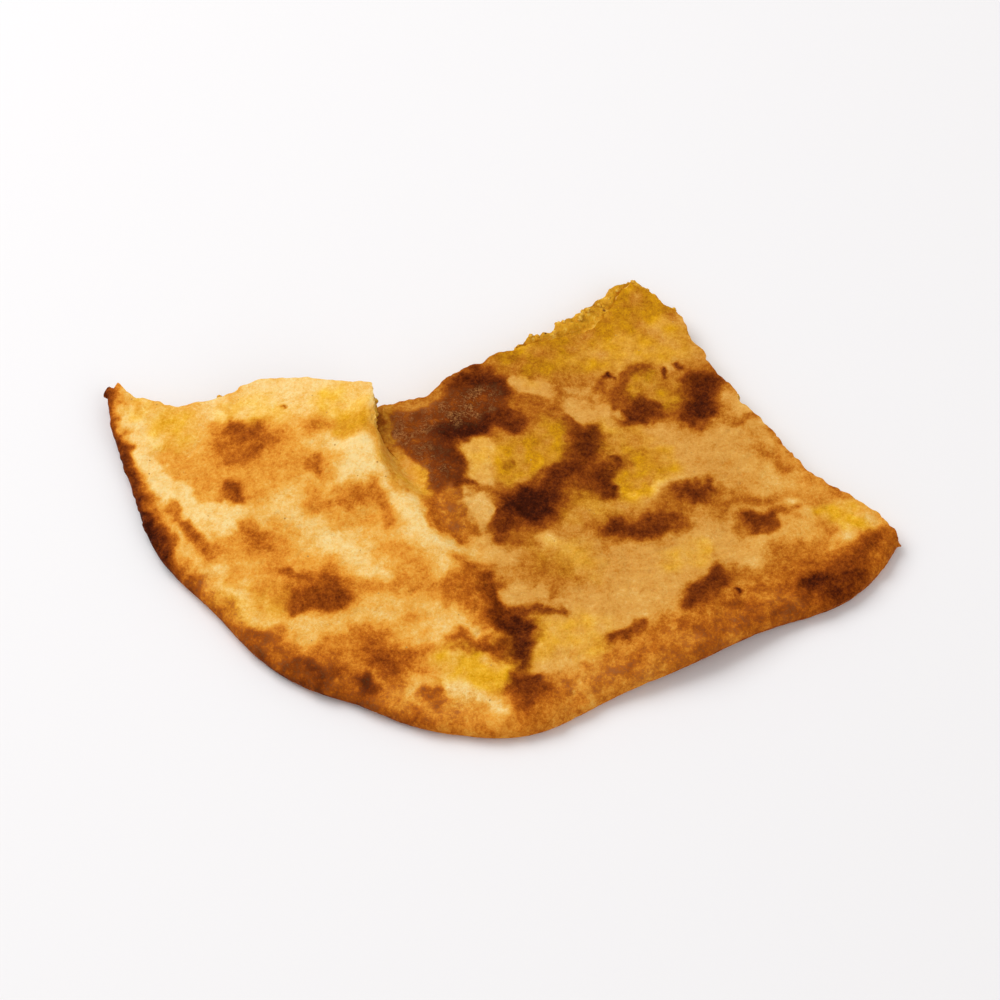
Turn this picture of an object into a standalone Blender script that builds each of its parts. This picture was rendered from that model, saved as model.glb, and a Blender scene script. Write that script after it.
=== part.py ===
"""A cut quarter of a griddled flatbread with a spiced potato filling.

The piece is drawn as a flat plan, +X along the chord of its browned rim and +Y
towards its cut point, and each layer is that plan lifted to a height of its own.
From above they are the upper skin, the potato and the lower skin. Both skins are
one solid, joined all along the rim and open at the two cut sides. A short tear
runs in from the left cut side, and the left lobe is lifted and pushed over it.

Lengths here are in millimetres, and MM turns them to Blender's metres.
"""

import math

import bpy
import bmesh
import numpy as np
from mathutils import Vector
from mathutils.geometry import delaunay_2d_cdt

MM = 0.001

# The browned rim: an arc round its own centre, flatter along the lower right
RIM_CENTRE = (4.0, 25.6)
RIM_RADIUS = 74.4
RIM_FLATS = ((-63.0, 21.5, 7.7, 4), (-139.0, 9.0, 2.0, 2), (-113.0, 6.0, 1.2, 2), (-163.0, 10.0, 1.7, 2))
RIM_WALL = 6.2
CURVE_SAMPLES = 24

# The cut sides, as places that the knife line bends at
CUT_POINT = (23.0, 48.5)
RIGHT_CORNER = (70.8, -8.4)
LEFT_TIP = (-70.8, 23.0)
RIGHT_CUT = ((68.0, -4.4), (54.0, 6.8), (45.5, 17.8), (38.6, 27.8), (34.4, 34.6), (32.2, 40.6), (28.0, 45.2))
NEAR_CUT = ((18.0, 44.2), (9.4, 37.0), (2.6, 32.3), (-7.4, 26.7), (-13.0, 22.1), (-21.0, 19.8))
FAR_CUT = ((-36.0, 19.5), (-40.6, 22.2), (-44.5, 22.9), (-48.8, 21.2), (-57.0, 19.0), (-64.0, 21.2), (-68.0, 22.4))

# The tear, a bent line from the left cut side that carries on as a fold
TEAR_START = (-28.5, 17.3)
TEAR_BEND = (-7.5, 0.5)
TEAR_END = (2.0, -33.8)
TEAR_LENGTH = 0.27
TEAR_BANK = 15.0
TEAR_GAP = 0.5
TEAR_TAPER = 0.1
TEAR_STEP = 6.9
TEAR_FALL = 1.5
STEP_FADE = 0.5
STEP_WIDTH = 0.2
FOLD_START = 0.12
FOLD_RUN = 0.28
FOLD_WIDTH = 3.6
FOLD_STEP = 1.6
FOLD_FALL = 0.42
LOBE_REACH = 21.0
OVERLAP = (5.9, 2.4)
OVERLAP_LENGTH = 0.17
OVERLAP_REACH = 14.0

# Layers
THICKNESS = 4.7
RIM_THICKNESS = 3.7
RIM_TAPER = 9.0
RIM_ROUND_TOP = 3.2
RIM_ROUND_BOTTOM = 1.8
RIM_EDGE = 0.15
SKIN = 1.15
SKIN_LEAST = 0.7
GAP = 0.3
BARE_POTATO = 4.2
BARE_CENTRE = (13.0, 41.5)
BARE_REACH = (15.0, 7.5)
BARE_DIRECTION = (0.45, -0.89)
BARE_RISE = 0.8

# How the piece arches off what it lies on: centre, reach and height of each swell
REST_DEPTH = 0.5
REST_BLEND = 0.5
SWELLS = (
    ((-10.0, -4.0), (36.0, 25.0), 3.7),
    ((1.0, 31.0), (15.0, 10.0), 1.7),
    ((36.0, -31.0), (20.0, 12.0), 2.4),
    ((-71.0, 23.0), (9.0, 12.0), 2.2),
    ((44.0, 20.0), (10.0, 9.0), 1.1),
)

# Low relief of the upper skin, first its seeded unevenness as crossing waves
UNEVEN_SEED = 7
UNEVEN_WAVES = 16
UNEVEN_LENGTHS = (9.0, 24.0)
UNEVEN_HEIGHT = 0.22
RELIEF_INSET = 4.0

# Then its ridges, blisters and hollows: centre, reach along and across, turn in degrees, height
BLISTERS = (
    ((-22.5, 5.0), (13.0, 3.2), -62.0, 1.1),
    ((-14.5, -9.0), (12.0, 3.4), -55.0, 1.0),
    ((-15.5, 2.5), (8.0, 1.8), -55.0, -0.9),
    ((-4.5, -14.0), (10.0, 2.6), -62.0, -0.8),
    ((1.0, -24.0), (8.0, 3.0), -70.0, -1.1),
    ((3.5, 12.5), (8.5, 4.5), 20.0, 0.6),
    ((24.5, 25.5), (3.0, 2.4), 0.0, 0.8),
    ((21.0, 19.0), (6.0, 3.5), 10.0, 0.5),
    ((-45.0, 6.0), (9.0, 6.0), 15.0, 0.6),
    ((-33.0, -20.0), (9.0, 5.0), -30.0, 0.5),
    ((32.0, 2.0), (14.0, 5.0), -18.0, 0.5),
    ((-55.0, -2.0), (8.0, 4.0), -60.0, -0.4),
    ((45.0, -7.0), (9.0, 3.5), 20.0, -0.4),
    ((-10.0, -33.0), (7.0, 4.0), 0.0, 0.5),
)

# Mesh sizes
EDGE_STEP = 2.5
UPPER_STEP = 2.3
LOWER_STEP = 3.4
INNER_STEP = 5.0
RIM_RINGS = (0.35, 1.1, 2.2, 3.8)
RIM_RINGS_BELOW = (0.6, 1.8)
TEAR_SAMPLES = 90
LATTICE_CLEARANCE = 0.55
RING_CLEARANCE = 0.5
BACK_CLEARANCE = 0.4
MERGE_DISTANCE = 1e-7

# Finishes: linear colour, roughness
TOASTED_DOUGH = ((0.72, 0.42, 0.14), 0.7)
TURMERIC_POTATO = ((0.78, 0.48, 0.04), 0.6)
SMOOTH_ANGLE = math.radians(50)


def smooth(value):
    """Ease from 0 to 1 as value goes from 0 to 1."""
    value = np.clip(value, 0.0, 1.0)
    return value * value * (3.0 - 2.0 * value)


def curve_through(places, spacing):
    """Even points along a smooth curve through the places, both ends included."""
    places = np.array(places, float)
    ends = np.vstack([2 * places[0] - places[1], places, 2 * places[-1] - places[-2]])
    runs = []
    for before, start, end, after in zip(ends, ends[1:], ends[2:], ends[3:]):
        t = np.linspace(0.0, 1.0, CURVE_SAMPLES, endpoint=False)[:, None]
        bend = (2 * before - 5 * start + 4 * end - after) * t ** 2
        turn = (3 * start - before - 3 * end + after) * t ** 3
        runs.append(start + ((end - before) * t + bend + turn) / 2)
    line = np.vstack(runs + [places[-1:]])
    along = np.concatenate([[0.0], np.cumsum(np.hypot(*np.diff(line, axis=0).T))])
    stations = np.linspace(0.0, along[-1], round(along[-1] / spacing) + 1)
    return np.column_stack([np.interp(stations, along, line[:, axis]) for axis in (0, 1)])


def rim_radius(angle):
    """Distance of the rim from its centre at an angle in degrees."""
    radius = np.full_like(angle, RIM_RADIUS)
    for centre, width, depth, power in RIM_FLATS:
        radius -= depth * np.exp(-(((angle - centre) / width) ** power))
    return radius


def rim_angle(plan):
    """Angle in degrees round the rim's centre, from the left tip's -180 upwards."""
    away = plan - np.array(RIM_CENTRE)
    angle = np.degrees(np.arctan2(away[:, 1], away[:, 0]))
    return np.where(angle > 90.0, angle - 360.0, angle)


def rim_inset(plan):
    """How far each point lies inside the rim."""
    away = plan - np.array(RIM_CENTRE)
    return np.clip(rim_radius(rim_angle(plan)) - np.hypot(*away.T), 0.0, None)


def rim_points(start, end, inset, spacing):
    """Points along the rim, at an inset, from above one plan point to another."""
    angles = rim_angle(np.array([start, end], float))
    count = round(math.radians(angles[1] - angles[0]) * RIM_RADIUS / spacing)
    angle = np.linspace(angles[0], angles[1], count + 1)[1:-1]
    radius = rim_radius(angle) - inset
    turn = np.radians(angle)
    return np.array(RIM_CENTRE) + np.column_stack([radius * np.cos(turn), radius * np.sin(turn)])


def tear_line(t):
    """Points and directions of the tear's line at t from 0 to 1."""
    start, bend, end = (np.array(place) for place in (TEAR_START, TEAR_BEND, TEAR_END))
    t = np.asarray(t, float)[:, None]
    place = (1 - t) ** 2 * start + 2 * t * (1 - t) * bend + t ** 2 * end
    way = (1 - t) * (bend - start) + t * (end - bend)
    return place, way / np.linalg.norm(way, axis=1)[:, None]


def tear_place(plan):
    """Nearest t on the tear's line, distance from it, and +1 on its right or -1 on its left."""
    samples = np.linspace(0.0, 1.0, TEAR_SAMPLES)
    place, way = tear_line(samples)
    gap = plan[:, None, :] - place[None, :, :]
    nearest = np.argmin((gap ** 2).sum(axis=2), axis=1)
    rows = np.arange(len(plan))
    gap, way = gap[rows, nearest], way[nearest]
    side = np.where(way[:, 0] * gap[:, 1] - way[:, 1] * gap[:, 0] > 0, 1.0, -1.0)
    return samples[nearest], np.hypot(*gap.T), side


def swell(plan, centre, reach, turn=0.0):
    """A soft round rise of height 1."""
    away = plan - np.array(centre)
    cosine, sine = math.cos(math.radians(turn)), math.sin(math.radians(turn))
    along = away[:, 0] * cosine + away[:, 1] * sine
    across = away[:, 1] * cosine - away[:, 0] * sine
    return np.exp(-((along / reach[0]) ** 2) - (across / reach[1]) ** 2)


def lobe_lift(plan):
    """Height of the left lobe above the right bank of the tear."""
    t, away, side = tear_place(plan)
    torn = TEAR_STEP * (1 - (t / STEP_FADE) ** TEAR_FALL)
    folded = FOLD_STEP * np.minimum((1 - t) / (1 - FOLD_FALL), 1.0)
    step = np.maximum(torn, folded)
    width = STEP_WIDTH + FOLD_WIDTH * smooth((t - FOLD_START) / FOLD_RUN)
    drawn = smooth((t - FOLD_START) / (TEAR_LENGTH - FOLD_START)) * (1 - smooth((t - TEAR_LENGTH) / FOLD_RUN))
    share = smooth((width * (1 - drawn) - side * away) / (2 * width))
    reach = np.where(side < 0, np.exp(-((away / LOBE_REACH) ** 2)), 1.0)
    return step * share * reach


def underside(plan):
    """Height of the lower skin's underside, flat where it rests."""
    height = lobe_lift(plan) - REST_DEPTH
    for centre, reach, rise in SWELLS:
        height += rise * swell(plan, centre, reach)
    eased = np.clip(height, 0.0, REST_BLEND)
    return np.where(height > REST_BLEND, height - REST_BLEND / 2, eased ** 2 / (2 * REST_BLEND))


def half_round(inset, radius):
    """Share of the half thickness at an inset from a rounded rim, which keeps a narrow upright edge."""
    share = np.sqrt(1.0 - (1.0 - np.clip(inset / radius, 0.0, 1.0)) ** 2)
    return RIM_EDGE + (1.0 - RIM_EDGE) * share


def uneven(plan):
    """Low waves of the upper skin, crossing at seeded turns."""
    draw = np.random.default_rng(UNEVEN_SEED)
    height = np.zeros(len(plan))
    for _ in range(UNEVEN_WAVES):
        turn, phase = draw.uniform(0.0, 2 * math.pi, 2)
        along = plan[:, 0] * math.cos(turn) + plan[:, 1] * math.sin(turn)
        height += np.sin(2 * math.pi * along / draw.uniform(*UNEVEN_LENGTHS) + phase)
    return UNEVEN_HEIGHT * height / math.sqrt(UNEVEN_WAVES)


def layer_heights(plan):
    """Heights of all the layers' surfaces at plan points, by name."""
    inset = rim_inset(plan)
    body = RIM_THICKNESS + (THICKNESS - RIM_THICKNESS) * smooth(inset / RIM_TAPER)
    middle = underside(plan) + body / 2
    upper = middle + body / 2 * half_round(inset, RIM_ROUND_TOP)
    lower = middle - body / 2 * half_round(inset, RIM_ROUND_BOTTOM)
    relief = uneven(plan)
    for centre, reach, turn, rise in BLISTERS:
        relief += rise * swell(plan, centre, reach, turn)
    top = upper + relief * smooth(inset / RELIEF_INSET)
    ceiling = np.minimum(upper - SKIN, top - SKIN_LEAST)
    return {
        "upper": top,
        "ceiling": ceiling,
        "potato_top": ceiling - GAP,
        "potato_bottom": lower + SKIN + GAP,
        "floor": lower + SKIN,
        "lower": lower,
    }


def place(plan, surface):
    """Turn plan points into points in space on a named surface."""
    t, away, side = tear_place(plan)
    share = np.clip(1 - t / OVERLAP_LENGTH, 0.0, 1.0) * np.exp(-((away / OVERLAP_REACH) ** 2))
    push = np.where(side < 0, share, 0.0)[:, None] * np.array(OVERLAP)
    return np.column_stack([plan + push, layer_heights(plan)[surface]])


def bare(plan):
    """Draw plan points back from the cut where the upper skin is worn off the potato."""
    share = swell(plan, BARE_CENTRE, BARE_REACH)
    return plan + BARE_POTATO * share[:, None] * np.array(BARE_DIRECTION)


def cut_side(spacing):
    """The whole cut side, from the right corner round the tear to the left tip."""
    right = curve_through((RIGHT_CORNER, *RIGHT_CUT, CUT_POINT), spacing)
    t = np.linspace(0.0, TEAR_LENGTH, round(TEAR_BANK / spacing) + 1)
    line, way = tear_line(t)
    taper = np.clip((TEAR_LENGTH - t) / TEAR_TAPER, 0.0, 1.0)
    half = TEAR_GAP / 2 * np.column_stack([-way[:, 1], way[:, 0]]) * taper[:, None]
    near_bank, far_bank = line + half, (line - half)[-2::-1]
    near = curve_through((CUT_POINT, *NEAR_CUT, near_bank[0]), spacing)
    far = curve_through((far_bank[-1], *FAR_CUT, LEFT_TIP), spacing)
    return np.vstack([right, near[1:-1], near_bank, far_bank[:-1], far])


def clear_of(points, line, gap):
    """The points that lie farther than gap from a line of points."""
    start, end = line[:-1], line[1:]
    run = end - start
    offset = points[:, None, :] - start[None, :, :]
    share = np.clip((offset * run).sum(axis=2) / (run ** 2).sum(axis=1), 0.0, 1.0)
    away = offset - share[..., None] * run
    return points[(away ** 2).sum(axis=2).min(axis=1) > gap ** 2]


def inside(points, outline):
    """True for each point that lies inside an outline."""
    x, y = points[:, 0, None], points[:, 1, None]
    start, end = outline, np.roll(outline, -1, axis=0)
    crosses = (start[:, 1] > y) != (end[:, 1] > y)
    rise = np.where(end[:, 1] == start[:, 1], 1.0, end[:, 1] - start[:, 1])
    at = start[:, 0] + (y - start[:, 1]) / rise * (end[:, 0] - start[:, 0])
    return (crosses & (x < at)).sum(axis=1) % 2 == 1


def lattice(outline, spacing):
    """Points of an even triangular lattice inside an outline, clear of it."""
    low, high = outline.min(axis=0), outline.max(axis=0)
    rows = np.arange(low[1], high[1], spacing * math.sqrt(0.75))
    columns = np.arange(low[0], high[0], spacing)
    points = np.array([(x + spacing / 2 * (row % 2), y) for row, y in enumerate(rows) for x in columns])
    closed = np.vstack([outline, outline[:1]])
    return clear_of(points[inside(points, outline)], closed, LATTICE_CLEARANCE * spacing)


def flat_mesh(outline, inner):
    """Triangles over an outline and the points inside it, outline first."""
    points = np.vstack([outline, inner])
    vectors = [Vector(point) for point in points.tolist()]
    made = delaunay_2d_cdt(vectors, [], [list(range(len(outline)))], 1, MERGE_DISTANCE, True)
    source = np.array([origin[0] for origin in made[3]])
    triangles = source[np.array([list(face) for face in made[2]])]
    return points, triangles[inside(points[triangles].mean(axis=1), outline)].tolist()


def skin_mesh(cut, rim, spacing, insets):
    """Flat mesh of a whole skin, with rings of points along the rim."""
    outline = np.vstack([cut, rim])
    rings = [rim_points(LEFT_TIP, RIGHT_CORNER, inset, EDGE_STEP) for inset in insets]
    rings = clear_of(np.vstack(rings), cut, RING_CLEARANCE * spacing)
    middle = lattice(outline, spacing)
    middle = middle[rim_inset(middle) > insets[-1] + RING_CLEARANCE * spacing]
    return flat_mesh(outline, np.vstack([rings, middle]))


def add_sheet(mesh, points, triangles, up):
    """Add one surface of triangles, and return its vertices in the points' order."""
    corners = [mesh.verts.new(Vector(point) * MM) for point in points]
    for face in triangles:
        order = face if up else face[::-1]
        mesh.faces.new([corners[index] for index in order])
    return corners


def finish(mesh, name, finish_values):
    """Turn a mesh into a named object with its material."""
    bmesh.ops.triangulate(mesh, faces=[face for face in mesh.faces if len(face.verts) > 3])
    bmesh.ops.recalc_face_normals(mesh, faces=mesh.faces)
    data = bpy.data.meshes.new(name)
    mesh.to_mesh(data)
    mesh.free()
    data.shade_smooth()
    data.set_sharp_from_angle(angle=SMOOTH_ANGLE)
    colour, roughness = finish_values
    material = bpy.data.materials.new(name)
    material.use_nodes = True
    shader = material.node_tree.nodes["Principled BSDF"]
    shader.inputs["Base Color"].default_value = (*colour, 1.0)
    shader.inputs["Roughness"].default_value = roughness
    shader.inputs["Metallic"].default_value = 0.0
    data.materials.append(material)
    piece = bpy.data.objects.new(name, data)
    bpy.context.scene.collection.objects.link(piece)
    return piece


def pocket_mesh(cut, first, last):
    """Flat mesh of the space for the potato, and the number of its points on the cut."""
    opening = cut[first:last + 1]
    back = rim_points(cut[last], cut[first], RIM_WALL, INNER_STEP)
    back = clear_of(back, opening, BACK_CLEARANCE * INNER_STEP)
    outline = np.vstack([opening, back])
    points, triangles = flat_mesh(outline, lattice(outline, INNER_STEP))
    return points, triangles, len(opening), len(outline)


def build_dough(cut, rim, pocket, first, last):
    """Both skins, joined round the rim, as one solid with a pocket open at the cut."""
    mesh = bmesh.new()
    flat, triangles = skin_mesh(cut, rim, UPPER_STEP, RIM_RINGS)
    upper = add_sheet(mesh, place(bare(flat), "upper"), triangles, True)
    flat, triangles = skin_mesh(cut, rim, LOWER_STEP, RIM_RINGS_BELOW)
    lower = add_sheet(mesh, place(flat, "lower"), triangles, False)
    flat, triangles, opening, edge = pocket
    ceiling = add_sheet(mesh, place(bare(flat), "ceiling"), triangles, False)
    floor = add_sheet(mesh, place(flat, "floor"), triangles, True)
    outer = len(cut) + len(rim)
    for index in range(outer):
        after = (index + 1) % outer
        here = index - first
        if index == first - 1:
            sides = [(upper[index], lower[index], lower[after], floor[0], ceiling[0], upper[after])]
        elif index == last:
            sides = [(upper[index], ceiling[here], floor[here], lower[index], lower[after], upper[after])]
        elif first <= index < last:
            sides = [(upper[index], ceiling[here], ceiling[here + 1], upper[after]),
                     (floor[here], lower[index], lower[after], floor[here + 1])]
        else:
            sides = [(upper[index], lower[index], lower[after], upper[after])]
        for side in sides:
            mesh.faces.new(side)
    for index in range(opening - 1, edge):
        after = (index + 1) % edge
        mesh.faces.new((ceiling[index], ceiling[after], floor[after], floor[index]))
    return finish(mesh, "dough", TOASTED_DOUGH)


def build_filling(pocket):
    """The layer of potato, a gap clear of the skins and flush with the cut."""
    mesh = bmesh.new()
    flat, triangles, opening, edge = pocket
    flat = flat.copy()
    back = flat[opening:edge]
    inward = np.array(RIM_CENTRE) - back
    flat[opening:edge] = back + GAP * inward / np.linalg.norm(inward, axis=1)[:, None]
    top = place(flat, "potato_top")
    top[:opening, 2] += BARE_RISE * smooth(2 * swell(flat[:opening], BARE_CENTRE, BARE_REACH) - 1)
    top = add_sheet(mesh, top, triangles, True)
    bottom = add_sheet(mesh, place(flat, "potato_bottom"), triangles, False)
    for index in range(edge):
        after = (index + 1) % edge
        mesh.faces.new((top[index], bottom[index], bottom[after], top[after]))
    return finish(mesh, "potato_filling", TURMERIC_POTATO)


def main():
    """Clear the scene and build the piece."""
    for old in list(bpy.data.objects):
        bpy.data.objects.remove(old, do_unlink=True)
    cut = cut_side(EDGE_STEP)
    rim = rim_points(LEFT_TIP, RIGHT_CORNER, 0.0, EDGE_STEP)
    open_cut = np.flatnonzero(rim_inset(cut) > RIM_WALL)
    first, last = int(open_cut[0]), int(open_cut[-1])
    pocket = pocket_mesh(cut, first, last)
    build_dough(cut, rim, pocket, first, last)
    build_filling(pocket)


main()
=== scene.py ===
"""Finish of a cut quarter of griddled flatbread with a turmeric potato filling.

The fixed model gives the piece's place and size. Here its two solids get a fine
skin with blisters, char, wrinkles and a craggy crust, a grainy layer of potato,
crumbs, spice specks and bran, and then a pale studio with soft light.

Lengths are millimetres in the plan that the solids are drawn in, +X along the
chord of the browned rim and +Y towards the cut point, unless a name says metres.
"""
import logging
import math
from dataclasses import dataclass, field
from enum import Enum
from typing import Any

import bmesh
import bpy
import numpy as np
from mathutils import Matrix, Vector
from mathutils.geometry import delaunay_2d_cdt


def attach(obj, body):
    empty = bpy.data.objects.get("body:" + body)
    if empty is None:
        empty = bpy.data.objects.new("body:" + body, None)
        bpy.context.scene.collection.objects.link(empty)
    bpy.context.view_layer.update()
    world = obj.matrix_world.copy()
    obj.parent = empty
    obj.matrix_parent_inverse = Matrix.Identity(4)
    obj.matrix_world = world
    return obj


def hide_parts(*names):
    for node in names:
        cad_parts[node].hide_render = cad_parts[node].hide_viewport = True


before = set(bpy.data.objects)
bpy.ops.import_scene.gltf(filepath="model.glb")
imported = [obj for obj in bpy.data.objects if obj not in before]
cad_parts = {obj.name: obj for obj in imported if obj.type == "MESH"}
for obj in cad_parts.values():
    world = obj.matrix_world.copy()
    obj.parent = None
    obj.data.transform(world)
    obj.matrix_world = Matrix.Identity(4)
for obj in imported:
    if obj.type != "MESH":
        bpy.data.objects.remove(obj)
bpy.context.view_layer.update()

MM = 0.001
SHARP_FROM = math.radians(60)
LOG = logging.getLogger("flatbread")
Pair = tuple[float, float]
Array = np.ndarray
Tree = bpy.types.NodeTree
Socket = bpy.types.NodeSocket


class Surface(Enum):
    """The layers' surfaces, from the top down."""

    UPPER = "upper"
    CEILING = "ceiling"
    POTATO_TOP = "potato top"
    POTATO_BOTTOM = "potato bottom"
    FLOOR = "floor"
    LOWER = "lower"


class Tint(Enum):
    """The values that the dough's finish reads, each a vertex attribute."""

    TOAST = "toast"
    TURMERIC = "turmeric"
    # The right side's tan tone and painted shade, where it slopes away from the light.
    TAN_AND_SHADE = "tan_and_painted_shade"
    ASH = "ash"


def smooth(value: Array) -> Array:
    """Ease from 0 to 1 as the value goes from 0 to 1."""
    value = np.clip(value, 0.0, 1.0)
    return value * value * (3.0 - 2.0 * value)


def eased(value: Array, start: float, run: float) -> Array:
    """Ease from 0 at a start to 1 a run further on, or the other way for a negative run."""
    return smooth((value - start) / run)


def unit(vectors: Array) -> Array:
    """Scale each row to length 1."""
    return vectors / np.maximum(np.linalg.norm(vectors, axis=1), 1e-9)[:, None]


@dataclass(frozen=True)
class Grain:
    """Smooth seeded noise over the plan, from -1 to 1, made of turned lattices of random values."""

    seed: int
    size: float
    octaves: int = 1
    table: int = 64
    turn: float = 0.65
    gain: float = 1.3

    def at(self, plan: Array) -> Array:
        """Noise at plan points.

        Args:
            plan: rows of x and y in millimetres.

        Returns:
            One value for each row.
        """
        total = np.zeros(len(plan))
        for octave in range(self.octaves):
            values = np.random.default_rng(self.seed + octave).uniform(-1.0, 1.0, (self.table, self.table))
            cosine, sine = math.cos(self.turn * (octave + 1)), math.sin(self.turn * (octave + 1))
            spot = plan @ np.array([[cosine, sine], [-sine, cosine]]) * (2 ** octave / self.size)
            cell = np.floor(spot).astype(int)
            part = spot - cell
            ease = part ** 3 * (part * (6.0 * part - 15.0) + 10.0)
            column, row = cell[:, 0] % self.table, cell[:, 1] % self.table
            right, above = (column + 1) % self.table, (row + 1) % self.table
            low = values[column, row] * (1 - ease[:, 0]) + values[right, row] * ease[:, 0]
            high = values[column, above] * (1 - ease[:, 0]) + values[right, above] * ease[:, 0]
            total += (low * (1 - ease[:, 1]) + high * ease[:, 1]) * 0.5 ** octave
        return total * self.gain


@dataclass(frozen=True)
class Swell:
    """A soft rise of the surface: its centre, reach along and across, turn in degrees and height."""

    centre: Pair
    reach: Pair
    height: float
    turn: float = 0.0

    def share(self, plan: Array) -> Array:
        """Share of the full height at plan points."""
        away = plan - np.array(self.centre)
        cosine, sine = math.cos(math.radians(self.turn)), math.sin(math.radians(self.turn))
        along = away[:, 0] * cosine + away[:, 1] * sine
        across = away[:, 1] * cosine - away[:, 0] * sine
        return np.exp(-((along / self.reach[0]) ** 2) - (across / self.reach[1]) ** 2)


@dataclass(frozen=True)
class Rim:
    """The browned round edge: an arc round its own centre, flatter in places."""

    centre: Pair = (4.0, 25.6)
    radius: float = 74.4
    flats: tuple = (
        (-63.0, 21.5, 7.7, 4), (-139.0, 9.0, 2.0, 2), (-113.0, 6.0, 1.2, 2), (-163.0, 10.0, 1.7, 2),
    )
    wall: float = 6.2

    def radius_at(self, angle: Array) -> Array:
        """Distance of the edge from its centre, at angles in degrees."""
        radius = np.full_like(angle, self.radius)
        for centre, width, depth, power in self.flats:
            radius -= depth * np.exp(-(((angle - centre) / width) ** power))
        return radius

    def angle(self, plan: Array) -> Array:
        """Angle in degrees round the centre, from the left tip's -180 upwards."""
        away = plan - np.array(self.centre)
        angle = np.degrees(np.arctan2(away[:, 1], away[:, 0]))
        return np.where(angle > 90.0, angle - 360.0, angle)

    def inset(self, plan: Array) -> Array:
        """How far each point lies inside the edge."""
        away = plan - np.array(self.centre)
        return np.clip(self.radius_at(self.angle(plan)) - np.hypot(*away.T), 0.0, None)

    def points(self, start: Pair, end: Pair, inset: float, spacing: float) -> Array:
        """Points along the edge, at an inset, from above one plan point to another."""
        angles = self.angle(np.array([start, end], float))
        count = round(math.radians(angles[1] - angles[0]) * self.radius / spacing)
        angle = np.linspace(angles[0], angles[1], count + 1)[1:-1]
        radius = self.radius_at(angle) - inset
        turn = np.radians(angle)
        return np.array(self.centre) + np.column_stack([radius * np.cos(turn), radius * np.sin(turn)])


@dataclass(frozen=True)
class Tear:
    """The tear from the left cut side, a bent line that carries on as a fold, and the lobe lifted over it."""

    start: Pair = (-28.5, 17.3)
    bend: Pair = (-7.5, 0.5)
    end: Pair = (2.0, -33.8)
    length: float = 0.27
    bank: float = 15.0
    gap: float = 0.5
    taper: float = 0.1
    step: float = 6.9
    fall: float = 1.5
    fade: float = 0.5
    step_width: float = 0.2
    fold_start: float = 0.12
    fold_run: float = 0.28
    fold_width: float = 3.6
    fold_step: float = 1.6
    fold_fall: float = 0.42
    lobe_reach: float = 21.0
    overlap: Pair = (5.9, 2.4)
    overlap_length: float = 0.17
    overlap_reach: float = 14.0
    samples: int = 180
    batch: int = 6000

    def line(self, t: Array) -> tuple[Array, Array]:
        """Points and unit directions of the line at t from 0 to 1."""
        start, bend, end = (np.array(spot) for spot in (self.start, self.bend, self.end))
        t = np.asarray(t, float)[:, None]
        spot = (1 - t) ** 2 * start + 2 * t * (1 - t) * bend + t ** 2 * end
        return spot, unit((1 - t) * (bend - start) + t * (end - bend))

    def nearest(self, plan: Array) -> tuple[Array, Array, Array]:
        """Nearest place on the line.

        Args:
            plan: rows of x and y.

        Returns:
            The line's t, the distance from it, and +1 on its right or -1 on its left.
        """
        samples = np.linspace(0.0, 1.0, self.samples)
        spot, way = self.line(samples)
        picked = []
        for batch in np.array_split(plan, max(1, len(plan) // self.batch)):
            picked.append(np.argmin(((batch[:, None, :] - spot[None, :, :]) ** 2).sum(axis=2), axis=1))
        nearest = np.concatenate(picked)
        gap, way = plan - spot[nearest], way[nearest]
        side = np.where(way[:, 0] * gap[:, 1] - way[:, 1] * gap[:, 0] > 0, 1.0, -1.0)
        return samples[nearest], np.hypot(*gap.T), side

    def lift(self, plan: Array) -> Array:
        """Height of the left lobe above the right bank."""
        t, away, side = self.nearest(plan)
        torn = self.step * (1 - (t / self.fade) ** self.fall)
        folded = self.fold_step * np.minimum((1 - t) / (1 - self.fold_fall), 1.0)
        step = np.maximum(torn, folded)
        width = self.step_width + self.fold_width * smooth((t - self.fold_start) / self.fold_run)
        drawn = smooth((t - self.fold_start) / (self.length - self.fold_start))
        drawn = drawn * (1 - smooth((t - self.length) / self.fold_run))
        share = smooth((width * (1 - drawn) - side * away) / (2 * width))
        reach = np.where(side < 0, np.exp(-((away / self.lobe_reach) ** 2)), 1.0)
        return step * share * reach

    def push(self, plan: Array) -> Array:
        """How far the lobe is pushed over the right bank, as rows of x and y."""
        t, away, side = self.nearest(plan)
        share = np.clip(1 - t / self.overlap_length, 0.0, 1.0) * np.exp(-((away / self.overlap_reach) ** 2))
        return np.where(side < 0, share, 0.0)[:, None] * np.array(self.overlap)

    def banks(self, spacing: float) -> tuple[Array, Array]:
        """The near bank from the cut to the tear's end, and the far bank back to the cut."""
        t = np.linspace(0.0, self.length, round(self.bank / spacing) + 1)
        line, way = self.line(t)
        taper = np.clip((self.length - t) / self.taper, 0.0, 1.0)
        half = self.gap / 2 * np.column_stack([-way[:, 1], way[:, 0]]) * taper[:, None]
        return line + half, (line - half)[-2::-1]


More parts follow.
